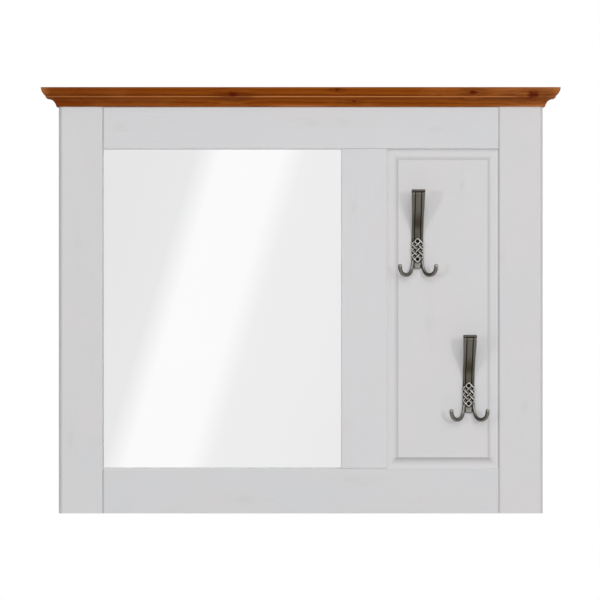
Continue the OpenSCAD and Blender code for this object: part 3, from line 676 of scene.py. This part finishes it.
def prong_path(hook, side):
    """A prong's axis and radii: down off the boss, out, and up to a round tip."""
    reach, spread, drop = hook.prong_reach, hook.prong_spread, hook.prong_drop
    root_r, tip_r = hook.prong_root_radius, hook.prong_tip_radius
    root = (hook.strap_width / 2 - root_r, root_r, -hook.lattice_step * 2)
    low = (spread * 0.65, reach * 0.67, -drop)
    tip = (spread, reach, hook.prong_rise - drop)
    leave = (root[0] + 0.3 * MM, root[1] + 0.8 * MM, root[2] - 16 * MM)
    settle = (low[0] - 11 * MM, low[1] - 8 * MM, low[2])
    lift = (low[0] + 8 * MM, low[1] + 6 * MM, low[2])
    arrive = (tip[0], tip[1] - 0.4 * MM, tip[2] - hook.prong_rise * 0.55)
    first = [bezier((root, leave, settle, low), t) for t in np.linspace(0, 1, 40, endpoint=False)]
    second = [bezier((low, lift, arrive, tip), t) for t in np.linspace(0, 1, 40)]
    path = first + second
    radii = [root_r + (tip_r - root_r) * t for t in np.linspace(0, 1, 40)] + [tip_r] * 40
    way = path[-1] - path[-2]
    way = way / np.linalg.norm(way)
    for angle in np.radians((12, 24, 36, 48, 60, 72, 82, 88)):
        path.append(np.array(tip) + way * tip_r * math.sin(angle))
        radii.append(tip_r * math.cos(angle))
    return [(side * p[0], p[1], p[2]) for p in path], radii


def strand_path(hook, corners):
    """A strand of the lattice through its corners, in lattice steps. It rises and dips as it crosses."""
    step, points = hook.lattice_step, []
    corners = np.array(corners, float)
    for a, b in zip(corners[:-1], corners[1:]):
        count = max(int(np.linalg.norm(b - a) * step / STRAND_SPACING), 2)
        lean = np.sign(b - a).prod()
        for t in np.linspace(0, 1, count, endpoint=False):
            x, y = a + (b - a) * t
            fade = min(1, max(0, 2 - abs(x)) / 0.7) * min(1, max(0, 4 - abs(y)) / 0.7)
            points.append((x * step, lean * math.cos(math.pi * x) * fade, y * step))
    points.append((corners[-1][0] * step, 0.0, corners[-1][1] * step))
    points = np.array(points)
    for _ in range(6):
        points[1:-1] = (points[:-2] + 2 * points[1:-1] + points[2:]) / 4
    points[:, 1] = hook.boss_floor + 0.15 * MM + points[:, 1] * hook.weave_height
    return points


def add_lattice(shells, hook):
    """The boss: its floor, and strands that run aslant over and under each other."""
    step, radius = hook.lattice_step, hook.strand_radius
    tip, side = 4 * step, 2 * step - radius / 2
    upper = [(-side, tip - side), (0, tip), (side, tip - side)]
    outline = upper + [(-u, -w) for u, w in upper]
    shells.skin([[(u, v, w) for u, w in outline] for v in (0.0, hook.boss_floor)])
    turn, near = LATTICE_TURN, 2 - LATTICE_TURN
    for s in (-1, 1):
        half = [(0, 4), (s * near, 2 + turn), (s * near, 2 - turn)]
        long = half + [(-x, -y) for x, y in reversed(half)]
        short = [(-s, 3), (s * near, turn), (s * near, -turn), (-s, -3)]
        for corners in (long, short):
            path = strand_path(hook, corners)
            shells.sweep(path, [radius] * len(path), 16)


def screw_cutter(hook):
    """What the two screws take out of the casting: a countersink and the way down to it."""
    cutter = Shells()
    seat, head, shank = hook.boss_floor - 0.2 * MM, 3.45 * MM, 2.1 * MM
    profile = [(shank, -1 * MM), (shank, seat - 1.35 * MM), (head, seat), (head, seat + 6 * MM)]
    for side in (-1, 1):
        w = side * 3 * hook.lattice_step
        cutter.skin([[(r * c, v, w + r * s) for c, s in round_steps(40)] for r, v in profile])
    return cutter


def mesh_of(name, shells):
    """A mesh of the shells, turned into the frame's axes: u along X, v against Y and w along Z."""
    mesh = bpy.data.meshes.new(name)
    mesh.from_pydata([(u, -v, w) for u, v, w in shells.points], [], shells.faces)
    mesh.update()
    return mesh


def helper_object(name, mesh):
    """An object that is only needed while another is made."""
    helper = bpy.data.objects.new(name, mesh)
    bpy.context.scene.collection.objects.link(helper)
    return helper


def fused_mesh(name, shells, cutter, voxel):
    """Fuses the shells into one smooth skin, cuts it and thins out its faces."""
    rough = helper_object("casting_in_work", mesh_of("casting_in_work", shells))
    tool = helper_object("cutter_in_work", mesh_of("cutter_in_work", cutter))
    remesh = rough.modifiers.new("Fuse", "REMESH")
    remesh.mode, remesh.voxel_size, remesh.use_smooth_shade = "VOXEL", voxel, True
    smooth = rough.modifiers.new("Soften", "SMOOTH")
    smooth.factor, smooth.iterations = 0.5, 5
    cut = rough.modifiers.new("Screw holes", "BOOLEAN")
    cut.operation, cut.object, cut.solver = "DIFFERENCE", tool, "EXACT"
    thin = rough.modifiers.new("Thin out", "DECIMATE")
    thin.ratio = KEPT_FACES
    bpy.context.view_layer.update()
    made = bpy.data.meshes.new_from_object(rough.evaluated_get(bpy.context.evaluated_depsgraph_get()))
    made.name = name
    bpy.data.objects.remove(rough)
    bpy.data.objects.remove(tool)
    return made


def mark_wear(mesh):
    """Stores where the casting stands proud, wear, and where it lies deep, wash, on its points."""
    count = len(mesh.vertices)
    place = np.empty(count * 3)
    mesh.vertices.foreach_get("co", place)
    place = place.reshape(-1, 3)
    place[:, 1] = np.minimum(place[:, 1], 0.0)
    mesh.vertices.foreach_set("co", place.ravel())
    normal = np.empty(count * 3)
    mesh.vertices.foreach_get("normal", normal)
    normal = normal.reshape(-1, 3)
    ends = np.empty(len(mesh.edges) * 2, int)
    mesh.edges.foreach_get("vertices", ends)
    one, other = ends.reshape(-1, 2).T
    degree = np.maximum(np.bincount(ends, minlength=count), 1)[:, None]

    def averaged(values):
        total = np.stack([
            np.bincount(one, values[other, k], count) + np.bincount(other, values[one, k], count)
            for k in range(values.shape[1])
        ], axis=1)
        return (values + total / degree) / 2

    smooth = place
    for attribute, rounds, depth in (("wash", 14, -0.17 * MM), ("wear", 30, 0.42 * MM)):
        for _ in range(rounds):
            smooth = averaged(smooth)
        proud = ((place - smooth) * normal).sum(1)[:, None]
        for _ in range(2):
            proud = averaged(proud)
        stored = mesh.attributes.new(attribute, "FLOAT", "POINT")
        stored.data.foreach_set("value", np.clip(proud[:, 0] / depth, 0, 1).astype(np.float32))


def hook_mesh(hook):
    """The whole casting, built once for both hooks."""
    shells = Shells()
    shells.skin(strap_rings(hook))
    shells.skin(lip_rings(hook))
    shells.skin(tail_rings(hook))
    shells.skin(web_rings(hook))
    for side in (-1, 1):
        shells.sweep(*prong_path(hook, side), sides=28)
    add_lattice(shells, hook)
    mesh = fused_mesh("coat_hook", shells, screw_cutter(hook), FUSED_VOXEL)
    if len(mesh.vertices) < 1000:
        raise RuntimeError("the casting came out empty")
    mark_wear(mesh)
    mesh.polygons.foreach_set("use_smooth", [True] * len(mesh.polygons))
    return mesh


# ---- Stage ----

def emission(name, paler):
    """A material that glows in its tone, and that shows paler in the mirror than in the hooks' soft gloss."""
    material = bpy.data.materials.new(name)
    material.use_nodes = True
    tree = material.node_tree
    tree.nodes.clear()
    tone = Value(add_node(tree, "ShaderNodeAttribute", attribute_name="tone").outputs["Fac"])
    sharp = Value(add_node(tree, "ShaderNodeLightPath").outputs["Is Singular Ray"])
    colour = mix(sharp * paler, tone, (0.8, 0.8, 0.8))
    glow = add_node(tree, "ShaderNodeEmission", {"Color": colour, "Strength": 1.04})
    add_node(tree, "ShaderNodeOutputMaterial", {"Surface": glow.outputs[0]})
    return material


def aim(piece, place, target):
    """Puts a lamp or camera in its place and turns it to a target."""
    piece.location = place
    piece.rotation_euler = (Vector(target) - Vector(place)).to_track_quat("-Z", "Y").to_euler()


def add_lamp(name, azimuth, elevation, distance, size, share, in_gloss=True):
    """A square lamp that gives a face turned to the front a share of its light, or the back one's."""
    across, up = math.radians(azimuth), math.radians(elevation)
    way = Vector((math.sin(across) * math.cos(up), -math.cos(across) * math.cos(up), math.sin(up)))
    lamp = bpy.data.lights.new(name, "AREA")
    lamp.shape, lamp.size, lamp.size_y = "RECTANGLE", size[0], size[1]
    lamp.energy = share * (math.pi * distance) ** 2 / max(abs(way.y), 0.2)
    holder = helper_object(name, lamp)
    aim(holder, MIDDLE + way * distance, MIDDLE)
    holder.visible_camera = False
    holder.visible_glossy = in_gloss


# The pale card that the mirror shows: a soft field under one lighter slanting band. Places across
# the mirror's width, at half its height, and the grey there.
CARD_GREYS = ((-1, 222), (0.2, 232), (0.3, 250), (0.55, 250), (0.65, 238), (2, 228))
CARD_ENDS, CARD_SLANT = (-0.3, 1.3), 0.4


def toned_mesh(name, points, faces, tones):
    """A mesh of flat faces whose points carry a tone."""
    mesh = bpy.data.meshes.new(name)
    mesh.from_pydata(points, [], faces)
    mesh.attributes.new("tone", "FLOAT", "POINT").data.foreach_set("value", tones)
    return mesh


def card_mesh(stage):
    """The mirrored card, as flat strips side by side whose points carry their grey."""
    size, eye = GLASS_HIGH - GLASS_LOW, Vector(stage.camera_place)
    spread = (2 * GLASS_LOW.y - eye.y + stage.card_distance) / (GLASS_LOW.y - eye.y)
    points, tones = [], []
    for across, grey in CARD_GREYS:
        for down in CARD_ENDS:
            aside = across + CARD_SLANT * (0.5 - down)
            place = Vector((GLASS_LOW.x + size.x * aside, 0, GLASS_HIGH.z - size.z * down))
            seen = eye + (place - eye) * spread
            points.append((seen.x, -stage.card_distance, seen.z))
            tones.append(srgb(grey, grey, grey)[0])
    faces = [(at, at + 1, at + 3, at + 2) for at in range(0, len(points) - 2, 2)]
    return toned_mesh("mirrored_card", points, faces, tones)


# What glossy surfaces reflect: screen greys by azimuth, to the left, ahead and to the right, and
# how much of each shows at a height in metres.
SURROUND_GREYS = (
    (-180, 190), (-130, 150), (-95, 96), (-65, 84), (-40, 110), (-22, 150), (-8, 178), (8, 196), (20, 232),
    (34, 252), (75, 255), (105, 222), (140, 190), (180, 190),
)
SURROUND_LEVELS = ((-7.0, 0.35), (-2.5, 0.45), (0.0, 0.95), (3.0, 1.1), (9.0, 1.2))
SURROUND_DISTANCE, SURROUND_COLUMNS = 7.5, 72


def surround_mesh():
    """A wide drum round the part whose points carry the greys, darker below."""
    azimuths, greys = zip(*SURROUND_GREYS)
    points, faces, tones = [], [], []
    rows = len(SURROUND_LEVELS)
    for column in range(SURROUND_COLUMNS + 1):
        azimuth = -180 + 360 * column / SURROUND_COLUMNS
        grey = float(np.interp(azimuth, azimuths, greys))
        across = math.radians(azimuth)
        for height, share in SURROUND_LEVELS:
            out, aside = math.cos(across) * SURROUND_DISTANCE, math.sin(across) * SURROUND_DISTANCE
            points.append((aside, -out, height))
            tones.append(srgb(grey, grey, grey)[0] * share)
    for column in range(SURROUND_COLUMNS):
        for row in range(rows - 1):
            at = column * rows + row
            faces.append([at, at + rows, at + rows + 1, at + 1])
    return toned_mesh("reflected_surround", points, faces, tones)


def floor_mesh(stage, half=3.2):
    """A pale matt floor whose under side is clear, so that the part can be seen from below."""
    surface = Surface("pale_floor", Roughness=0.7)
    colour = tuple(stage.floor_colour)
    cloud = surface.place.noise(1.5, 3)
    surface.finish(mix(cloud, colour, toned(colour, (0.97, 0.97, 0.97))))
    clear = add_node(surface.tree, "ShaderNodeBsdfTransparent").outputs[0]
    under = add_node(surface.tree, "ShaderNodeNewGeometry").outputs["Backfacing"]
    both = add_node(surface.tree, "ShaderNodeMixShader", {0: under, 1: surface.shader.outputs[0], 2: clear})
    surface.tree.links.new(both.outputs[0], surface.output.inputs[0])
    corners = ((-half, -half), (half, -half), (half, half), (-half, half))
    mesh = bpy.data.meshes.new("pale_floor")
    mesh.from_pydata([(x, y, stage.floor_level) for x, y in corners], [], [(0, 1, 2, 3)])
    mesh.materials.append(surface.material)
    return mesh


def set_world(ambient):
    """A white surround to the camera and in reflections, and a weak even light on everything else."""
    world = bpy.data.worlds.new("studio")
    bpy.context.scene.world = world
    world.use_nodes = True
    tree = world.node_tree
    tree.nodes.clear()
    path = add_node(tree, "ShaderNodeLightPath").outputs
    seen = largest(*[Value(path[f"Is {kind} Ray"]) for kind in ("Camera", "Glossy", "Transmission")])
    inputs = {"Color": WHITE, "Strength": seen.ramp(0.0, 1.0, ambient, 1.0)}
    background = add_node(tree, "ShaderNodeBackground", inputs)
    add_node(tree, "ShaderNodeOutputWorld", {"Surface": background.outputs[0]})


# ---- Settings ----

def length(name, description, default, low, high):
    """A length that a user can change, given in millimetres."""
    return FloatProperty(name=name, description=description, default=default * MM, min=low * MM,
                         max=high * MM, unit="LENGTH", subtype="DISTANCE", precision=4)


def colour(name, description, default):
    """A colour that a user can change."""
    return FloatVectorProperty(name=name, description=description, default=default, min=0, max=1,
                               size=3, subtype="COLOR")


def share(name, description, default):
    """A share that a user can change."""
    return FloatProperty(name=name, description=description, default=default, min=0, max=1,
                         subtype="FACTOR")


class PaintSettings(bpy.types.PropertyGroup):
    """The white paint on the frame and the panel."""
    colour: colour("Paint", "Colour of the white paint", srgb(216, 216, 217))
    shade: colour("Shade", "Colour that shows through over knots and rings", srgb(186, 181, 178))
    show_through: share("Show through", "How much of the wood shows through the paint", 0.05)
    relief: length("Relief", "Depth of the brush marks", 0.09, 0, 1)


class CrownSettings(bpy.types.PropertyGroup):
    """The oiled pine of the crown."""
    early_wood: colour("Early wood", "Colour of the wood between the rings", srgb(152, 78, 12))
    late_wood: colour("Late wood", "Colour of the rings", srgb(104, 42, 2))
    glow: colour("Glow", "Colour of the lighter stretches", srgb(176, 104, 44))
    # This colour is painted light: the lighter right end and right half, and the painted highlights on the
    # nose, the foot and the upper left corner.
    painted_light: colour("Worn", "Colour of the rubbed edge and of the right end", srgb(196, 130, 78))
    knot: colour("Knot", "Colour of the knots", srgb(88, 16, 0))


class MirrorSettings(bpy.types.PropertyGroup):
    """The silvered pane."""
    silver: colour("Silvering", "Colour of the mirror's silvering", (0.965, 0.97, 0.967))


class BackSettings(bpy.types.PropertyGroup):
    """What is seen from behind."""
    board: colour("Hardboard", "Colour of the hardboard's fibres", srgb(150, 112, 74))
    board_dark: colour("Hardboard shade", "Colour between the fibres", srgb(106, 74, 46))
    beech: colour("Beech", "Colour of the dowels", srgb(222, 190, 150))
    beech_fleck: colour("Beech fleck", "Colour of the flecks in the dowels", srgb(180, 138, 98))
    zinc: colour("Zinc", "Colour of the plated plates and screws", (0.62, 0.64, 0.66))
    zinc_dull: colour("Dull zinc", "Colour of the dull spots in the plating", (0.40, 0.42, 0.44))


class HookSettings(bpy.types.PropertyGroup):
    """Sizes and colours of the two cast hooks. The sizes repeat those of the frame's own hooks."""
    strap_width: length("Strap width", "Width of the strap that forms the arm", 21, 18, 24)
    strap_thickness: length("Strap thickness", "Thickness of the strap", 4.5, 4, 6)
    band_width: length("Band width", "Width of the band between the flutes", 11, 9, 12)
    flute_width: length("Flute width", "Width of each flute", 1.8, 1.2, 2.4)
    flute_depth: length("Flute depth", "Depth of each flute", 1.3, 0.6, 1.8)
    arm_rise: length("Arm rise", "Height of the arm's tip over the hook's middle", 108, 96, 125)
    arm_reach: length("Arm reach", "How far the arm's tip stands off", 46, 36, 56)
    lip_width: length("Lip width", "Length of the lip across the arm's tip", 25, 22, 30)
    lip_radius: length("Lip radius", "Radius of the lip", 2.5, 2.2, 3.5)
    tail_drop: length("Tongue drop", "How far down the tongue reaches", 33.4, 28, 38)
    prong_spread: length("Prong spread", "How far out each prong's tip lies", 32.3, 29, 38)
    prong_drop: length("Prong drop", "How far down each prong reaches", 44.4, 42, 52)
    prong_rise: length("Prong rise", "Height of each prong's tip over its lowest point", 16, 12, 22)
    prong_reach: length("Prong reach", "How far each prong's tip stands off", 29, 24, 36)
    prong_root_radius: length("Prong root", "Radius of a prong at its root", 2.5, 2.2, 3)
    prong_tip_radius: length("Prong tip", "Radius of a prong at its tip", 3.5, 2.8, 3.6)
    lattice_step: length("Lattice step", "Half the distance between the openings", 5.35, 5.2, 5.8)
    strand_radius: length("Strand radius", "Radius of the lattice's strands", 1.8, 1.4, 1.9)
    web_thickness: length("Web", "Thickness of the web beside the tongue", 2, 1.5, 3)
    boss_floor: length("Boss floor", "Height of the lattice's floor", 5.2, 4.8, 6.4)
    weave_height: length("Weave", "How far a strand rises and dips at a crossing", 0.45, 0, 1)
    pewter: colour("Pewter", "Colour of the plating", srgb(116, 110, 99))
    pewter_cool: colour("Cool pewter", "Colour of the plating's cooler blotches", srgb(108, 106, 98))
    brown: colour("Brown", "Colour of the plating low on the arm", srgb(66, 50, 34))
    # Besides wear, this colour makes the painted highlights on the prong roots, the prong tips and the
    # lattice's floor.
    rubbed_and_highlight: colour("Rubbed", "Colour where the plating is rubbed bright", srgb(216, 214, 211))
    # Besides the patina in the hollows, this colour makes the painted shade on the hook's flanks and in the
    # groove under the lip.
    wash: colour("Wash", "Colour that lies in the hollows", srgb(42, 34, 26))
    screw: colour("Screws", "Colour of the blackened screws", (0.022, 0.021, 0.02))
    screw_dull: colour("Dull screws", "Colour of the dull spots on the screws", (0.012, 0.012, 0.012))


class StageSettings(bpy.types.PropertyGroup):
    """Camera, light and floor."""
    camera_place: FloatVectorProperty(name="Camera", description="Place of the camera", unit="LENGTH",
                                      subtype="TRANSLATION", default=(-1.26 * MM, -4.522, -0.2859))
    lens: FloatProperty(name="Lens", description="Focal length in millimetres", default=150, min=50, max=300)
    floor_level: length("Floor level", "Height of the floor", -1900, -3000, -1000)
    floor_colour: colour("Floor", "Colour of the floor", (0.74, 0.74, 0.73))
    card_distance: length("Card distance", "How far in front the mirrored card stands", 6000, 5000, 9000)
    ambient: share("Ambient", "Light from all round", 0.265)
    softbox: share("Softbox", "Light from the wide lamp at the front", 0.25)
    front: share("Front", "Light from the lamp beside the camera", 0.15)
    key: share("Key", "Light from the small lamp at the right", 0.10)
    fill: share("Fill", "Light from the small lamp at the left", 0.10)
    back: share("Back light", "Light from the lamps behind", 0.6)


SETTINGS = {
    "paint": PaintSettings, "crown": CrownSettings, "mirror": MirrorSettings,
    "back": BackSettings, "hooks": HookSettings, "stage": StageSettings,
}


class HallMirrorSettings(bpy.types.PropertyGroup):
    """All the settings of the hall mirror."""
    paint: PointerProperty(type=PaintSettings)
    crown: PointerProperty(type=CrownSettings)
    mirror: PointerProperty(type=MirrorSettings)
    back: PointerProperty(type=BackSettings)
    hooks: PointerProperty(type=HookSettings)
    stage: PointerProperty(type=StageSettings)


# ---- Operators ----
# Knots are given as x, z and radius in millimetres, and bands as joint_lines_and_painted_light takes them.

class HALLMIRROR_OT_paint_frame(bpy.types.Operator):
    """Paint the stiles and rails"""
    bl_idname = "hall_mirror.paint_frame"
    bl_label = "Paint Frame"
    bl_options = {"REGISTER", "UNDO"}

    def execute(self, context):
        rail_end = ("X", LEFT_JOINT + 1.2 * MM, 0.6, 1.7, 0.3)
        opening, beside = (LEFT_JOINT, MIDDLE_LEFT), (MIDDLE_RIGHT, RIGHT_JOINT)
        boards = (                            # each with upright grain or not, knots, tone and bands
            # Painted shade along the left stile's rounded outer edge.
            ("left_stile", True, ((-415, -538, 8), (-402, -180, 6)), (0.991, 0.988, 0.99),
             [("X", STILE_LOW.x + 4.4 * MM, 1.6, 3.2, 0.12)]),
            # Painted light: a paler band along the middle stile's right edge.
            ("middle_stile", True, ((80, -610, 9), (96, -120, 7), (82, -512, 8)), (1.014, 1.008, 1.018),
             [("X", MIDDLE_RIGHT, 0.8, 2.0, -0.18)]),
            ("right_stile", True, ((362, -208, 7), (402, -480, 8)), (1.002, 0.989, 0.992),
             [("X", RIGHT_JOINT + 1.2 * MM, 0.6, 1.7, 0.24)]),
            # Painted light: the rail paler along its lower edge over the mirror and the panel.
            ("top_rail", False, ((76, 33, 9), (22, 33, 8), (242, 20, 8), (-325, 25, 8)), (0.997, 1.0, 1.012),
             [rail_end, ("Z", OPENING_TOP, 0.3, 0.6, -0.8, *opening),
              ("Z", OPENING_TOP, 0.3, 0.6, -0.5, *beside)]),
            # Painted light: the rail paler along its upper edge under the mirror and the panel.
            ("bottom_rail", False, ((-100, -644, 10), (89, -610, 9)), (0.983, 0.983, 0.99),
             [rail_end, ("Z", OPENING_FOOT, 0.3, 0.6, -1.0, *opening),
              ("Z", OPENING_FOOT, 0.3, 0.6, -0.9, *beside)]),
        )
        for node, *finish in boards:
            dress(node, painted_board("painted_" + node, *finish))
        return {"FINISHED"}


class HALLMIRROR_OT_paint_panel(bpy.types.Operator):
    """Paint the fielded panel"""
    bl_idname = "hall_mirror.paint_panel"
    bl_label = "Paint Panel"
    bl_options = {"REGISTER", "UNDO"}

    def execute(self, context):
        # Painted light: paler bands beside the middle stile, beside the right stile and above the bottom
        # rail; and a band of painted shadow below the top rail.
        bands = (
            ("X", MIDDLE_RIGHT + 1 * MM, 1.0, 3.0, -0.28), ("X", RIGHT_JOINT - 2 * MM, 0.8, 2.0, -0.25),
            ("Z", OPENING_TOP, 1.5, 7.0, 0.13), ("Z", OPENING_FOOT, 3.0, 8.0, -0.1),
        )
        knots = ((230, -330, 9), (290, -80, 6))
        board = painted_board("painted_fielded_panel", True, knots, (1.012, 1.002, 1.004), bands, hollow=True)
        dress("fielded_panel", board)
        return {"FINISHED"}


class HALLMIRROR_OT_oil_crown(bpy.types.Operator):
    """Oil the crown moulding"""
    bl_idname = "hall_mirror.oil_crown"
    bl_label = "Oil Crown"
    bl_options = {"REGISTER", "UNDO"}

    def execute(self, context):
        knots = ((-121, 82, 5.5), (308, 86, 4.5), (416, 81.5, 7), (65, 90, 2.5), (96, 71, 2.2))
        dress("crown_front", oiled_timber("oiled_crown_front", knots))
        for node in ("crown_left_return", "crown_right_return"):
            dress(node, oiled_timber("oiled_" + node, along_depth=True))
        return {"FINISHED"}


class HALLMIRROR_OT_silver_mirror(bpy.types.Operator):
    """Silver the mirror's pane"""
    bl_idname = "hall_mirror.silver_mirror"
    bl_label = "Silver Mirror"
    bl_options = {"REGISTER", "UNDO"}

    def execute(self, context):
        dress("mirror_glass", silvering("silvered_pane"))
        return {"FINISHED"}


class HALLMIRROR_OT_finish_back(bpy.types.Operator):
    """Finish the hardboard, the dowels, the keyhole plates and their screws"""
    bl_idname = "hall_mirror.finish_back"
    bl_label = "Finish Back"
    bl_options = {"REGISTER", "UNDO"}

    def execute(self, context):
        back = settings("back")
        dress("backing_board", pressed_board("pressed_hardboard"))
        beech = bare_beech("turned_beech")
        zinc = plated_steel("zinc_plate", back.zinc, back.zinc_dull, 0.34)
        for node in ("frame_dowels", "crown_dowels"):
            dress(node, beech)
        for node in ("left_hanger_plate", "right_hanger_plate", "hanger_screws", "backing_screws"):
            dress(node, zinc)
        return {"FINISHED"}


class HALLMIRROR_OT_cast_hooks(bpy.types.Operator):
    """Cast the two coat hooks and set them on the panel"""
    bl_idname = "hall_mirror.cast_hooks"
    bl_label = "Cast Hooks"
    bl_options = {"REGISTER", "UNDO"}

    def execute(self, context):
        hook = settings("hooks")
        mesh = hook_mesh(hook)
        mesh.materials.clear()
        mesh.materials.append(antique_pewter("antique_pewter"))
        for node, (low, high) in HOOK_BOXES.items():
            piece = helper_object(node + "_casting", mesh)
            piece.location = ((low.x + high.x) / 2, FIELD_Y, high.z - hook.arm_rise)
            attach(piece, "root")
            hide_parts(node)
        return {"FINISHED"}


class HALLMIRROR_OT_blacken_screws(bpy.types.Operator):
    """Blacken the screws that hold the hooks"""
    bl_idname = "hall_mirror.blacken_screws"
    bl_label = "Blacken Screws"
    bl_options = {"REGISTER", "UNDO"}

    def execute(self, context):
        hook = settings("hooks")
        dress("hook_screws", plated_steel("blackened_steel", hook.screw, hook.screw_dull, 0.4))
        return {"FINISHED"}


class HALLMIRROR_OT_set_stage(bpy.types.Operator):
    """Set up the camera, the lamps, the floor and the card in front of the mirror"""
    bl_idname = "hall_mirror.set_stage"
    bl_label = "Set Stage"
    bl_options = {"REGISTER", "UNDO"}

    def execute(self, context):
        stage = settings("stage")
        context.scene.view_settings.view_transform = "Standard"
        camera = bpy.data.cameras.new("camera")
        camera.lens, camera.sensor_width, camera.clip_end = stage.lens, 36.0, 100.0
        holder = helper_object("camera", camera)
        place = Vector(stage.camera_place)
        aim(holder, place, place + Vector((0, 1, 0)))
        context.scene.camera = holder
        set_world(stage.ambient)
        for lamp in (
            ("softbox", 7, 24, 5.4, (4.4, 3.0), stage.softbox, False),
            ("front", 0, 4, 5.0, (1.6, 1.2), stage.front, False),
            ("key", 27, 6.5, 4.5, (0.34, 0.34), stage.key),
            ("fill", -35, 2.5, 4.5, (0.36, 0.36), stage.fill),
            ("back_left", 150, 25, 4.5, (1.6, 1.6), stage.back / 2),
            ("back_right", 210, 25, 4.5, (1.6, 1.6), stage.back / 2),
        ):
            add_lamp(*lamp)
        helper_object("pale_floor", floor_mesh(stage))
        for mesh, paler in ((card_mesh(stage), 0.0), (surround_mesh(), 0.75)):
            mesh.materials.append(emission(mesh.name, paler))
            card = helper_object(mesh.name, mesh)
            for kind in ("camera", "diffuse", "shadow", "transmission"):
                setattr(card, "visible_" + kind, False)
        return {"FINISHED"}


OPERATORS = (
    HALLMIRROR_OT_paint_frame, HALLMIRROR_OT_paint_panel, HALLMIRROR_OT_oil_crown,
    HALLMIRROR_OT_silver_mirror, HALLMIRROR_OT_finish_back, HALLMIRROR_OT_cast_hooks,
    HALLMIRROR_OT_blacken_screws, HALLMIRROR_OT_set_stage,
)


class HALLMIRROR_PT_panel(bpy.types.Panel):
    """The steps and settings of the hall mirror"""
    bl_label = "Hall Mirror"
    bl_space_type = "VIEW_3D"
    bl_region_type = "UI"
    bl_category = "Hall Mirror"

    def draw(self, context):
        for operator in OPERATORS:
            self.layout.operator(operator.bl_idname)
        for name, kind in SETTINGS.items():
            box = self.layout.box()
            box.label(text=name.capitalize())
            for setting in kind.__annotations__:
                box.prop(settings(name), setting)


CLASSES = (*SETTINGS.values(), HallMirrorSettings, *OPERATORS, HALLMIRROR_PT_panel)


def register():
    for kind in CLASSES:
        bpy.utils.register_class(kind)
    bpy.types.Scene.hall_mirror = PointerProperty(type=HallMirrorSettings)


def unregister():
    del bpy.types.Scene.hall_mirror
    for kind in reversed(CLASSES):
        bpy.utils.unregister_class(kind)


def main():
    register()
    for operator in OPERATORS:
        group, name = operator.bl_idname.split(".")
        getattr(getattr(bpy.ops, group), name)()


if __name__ == "__main__":
    main()
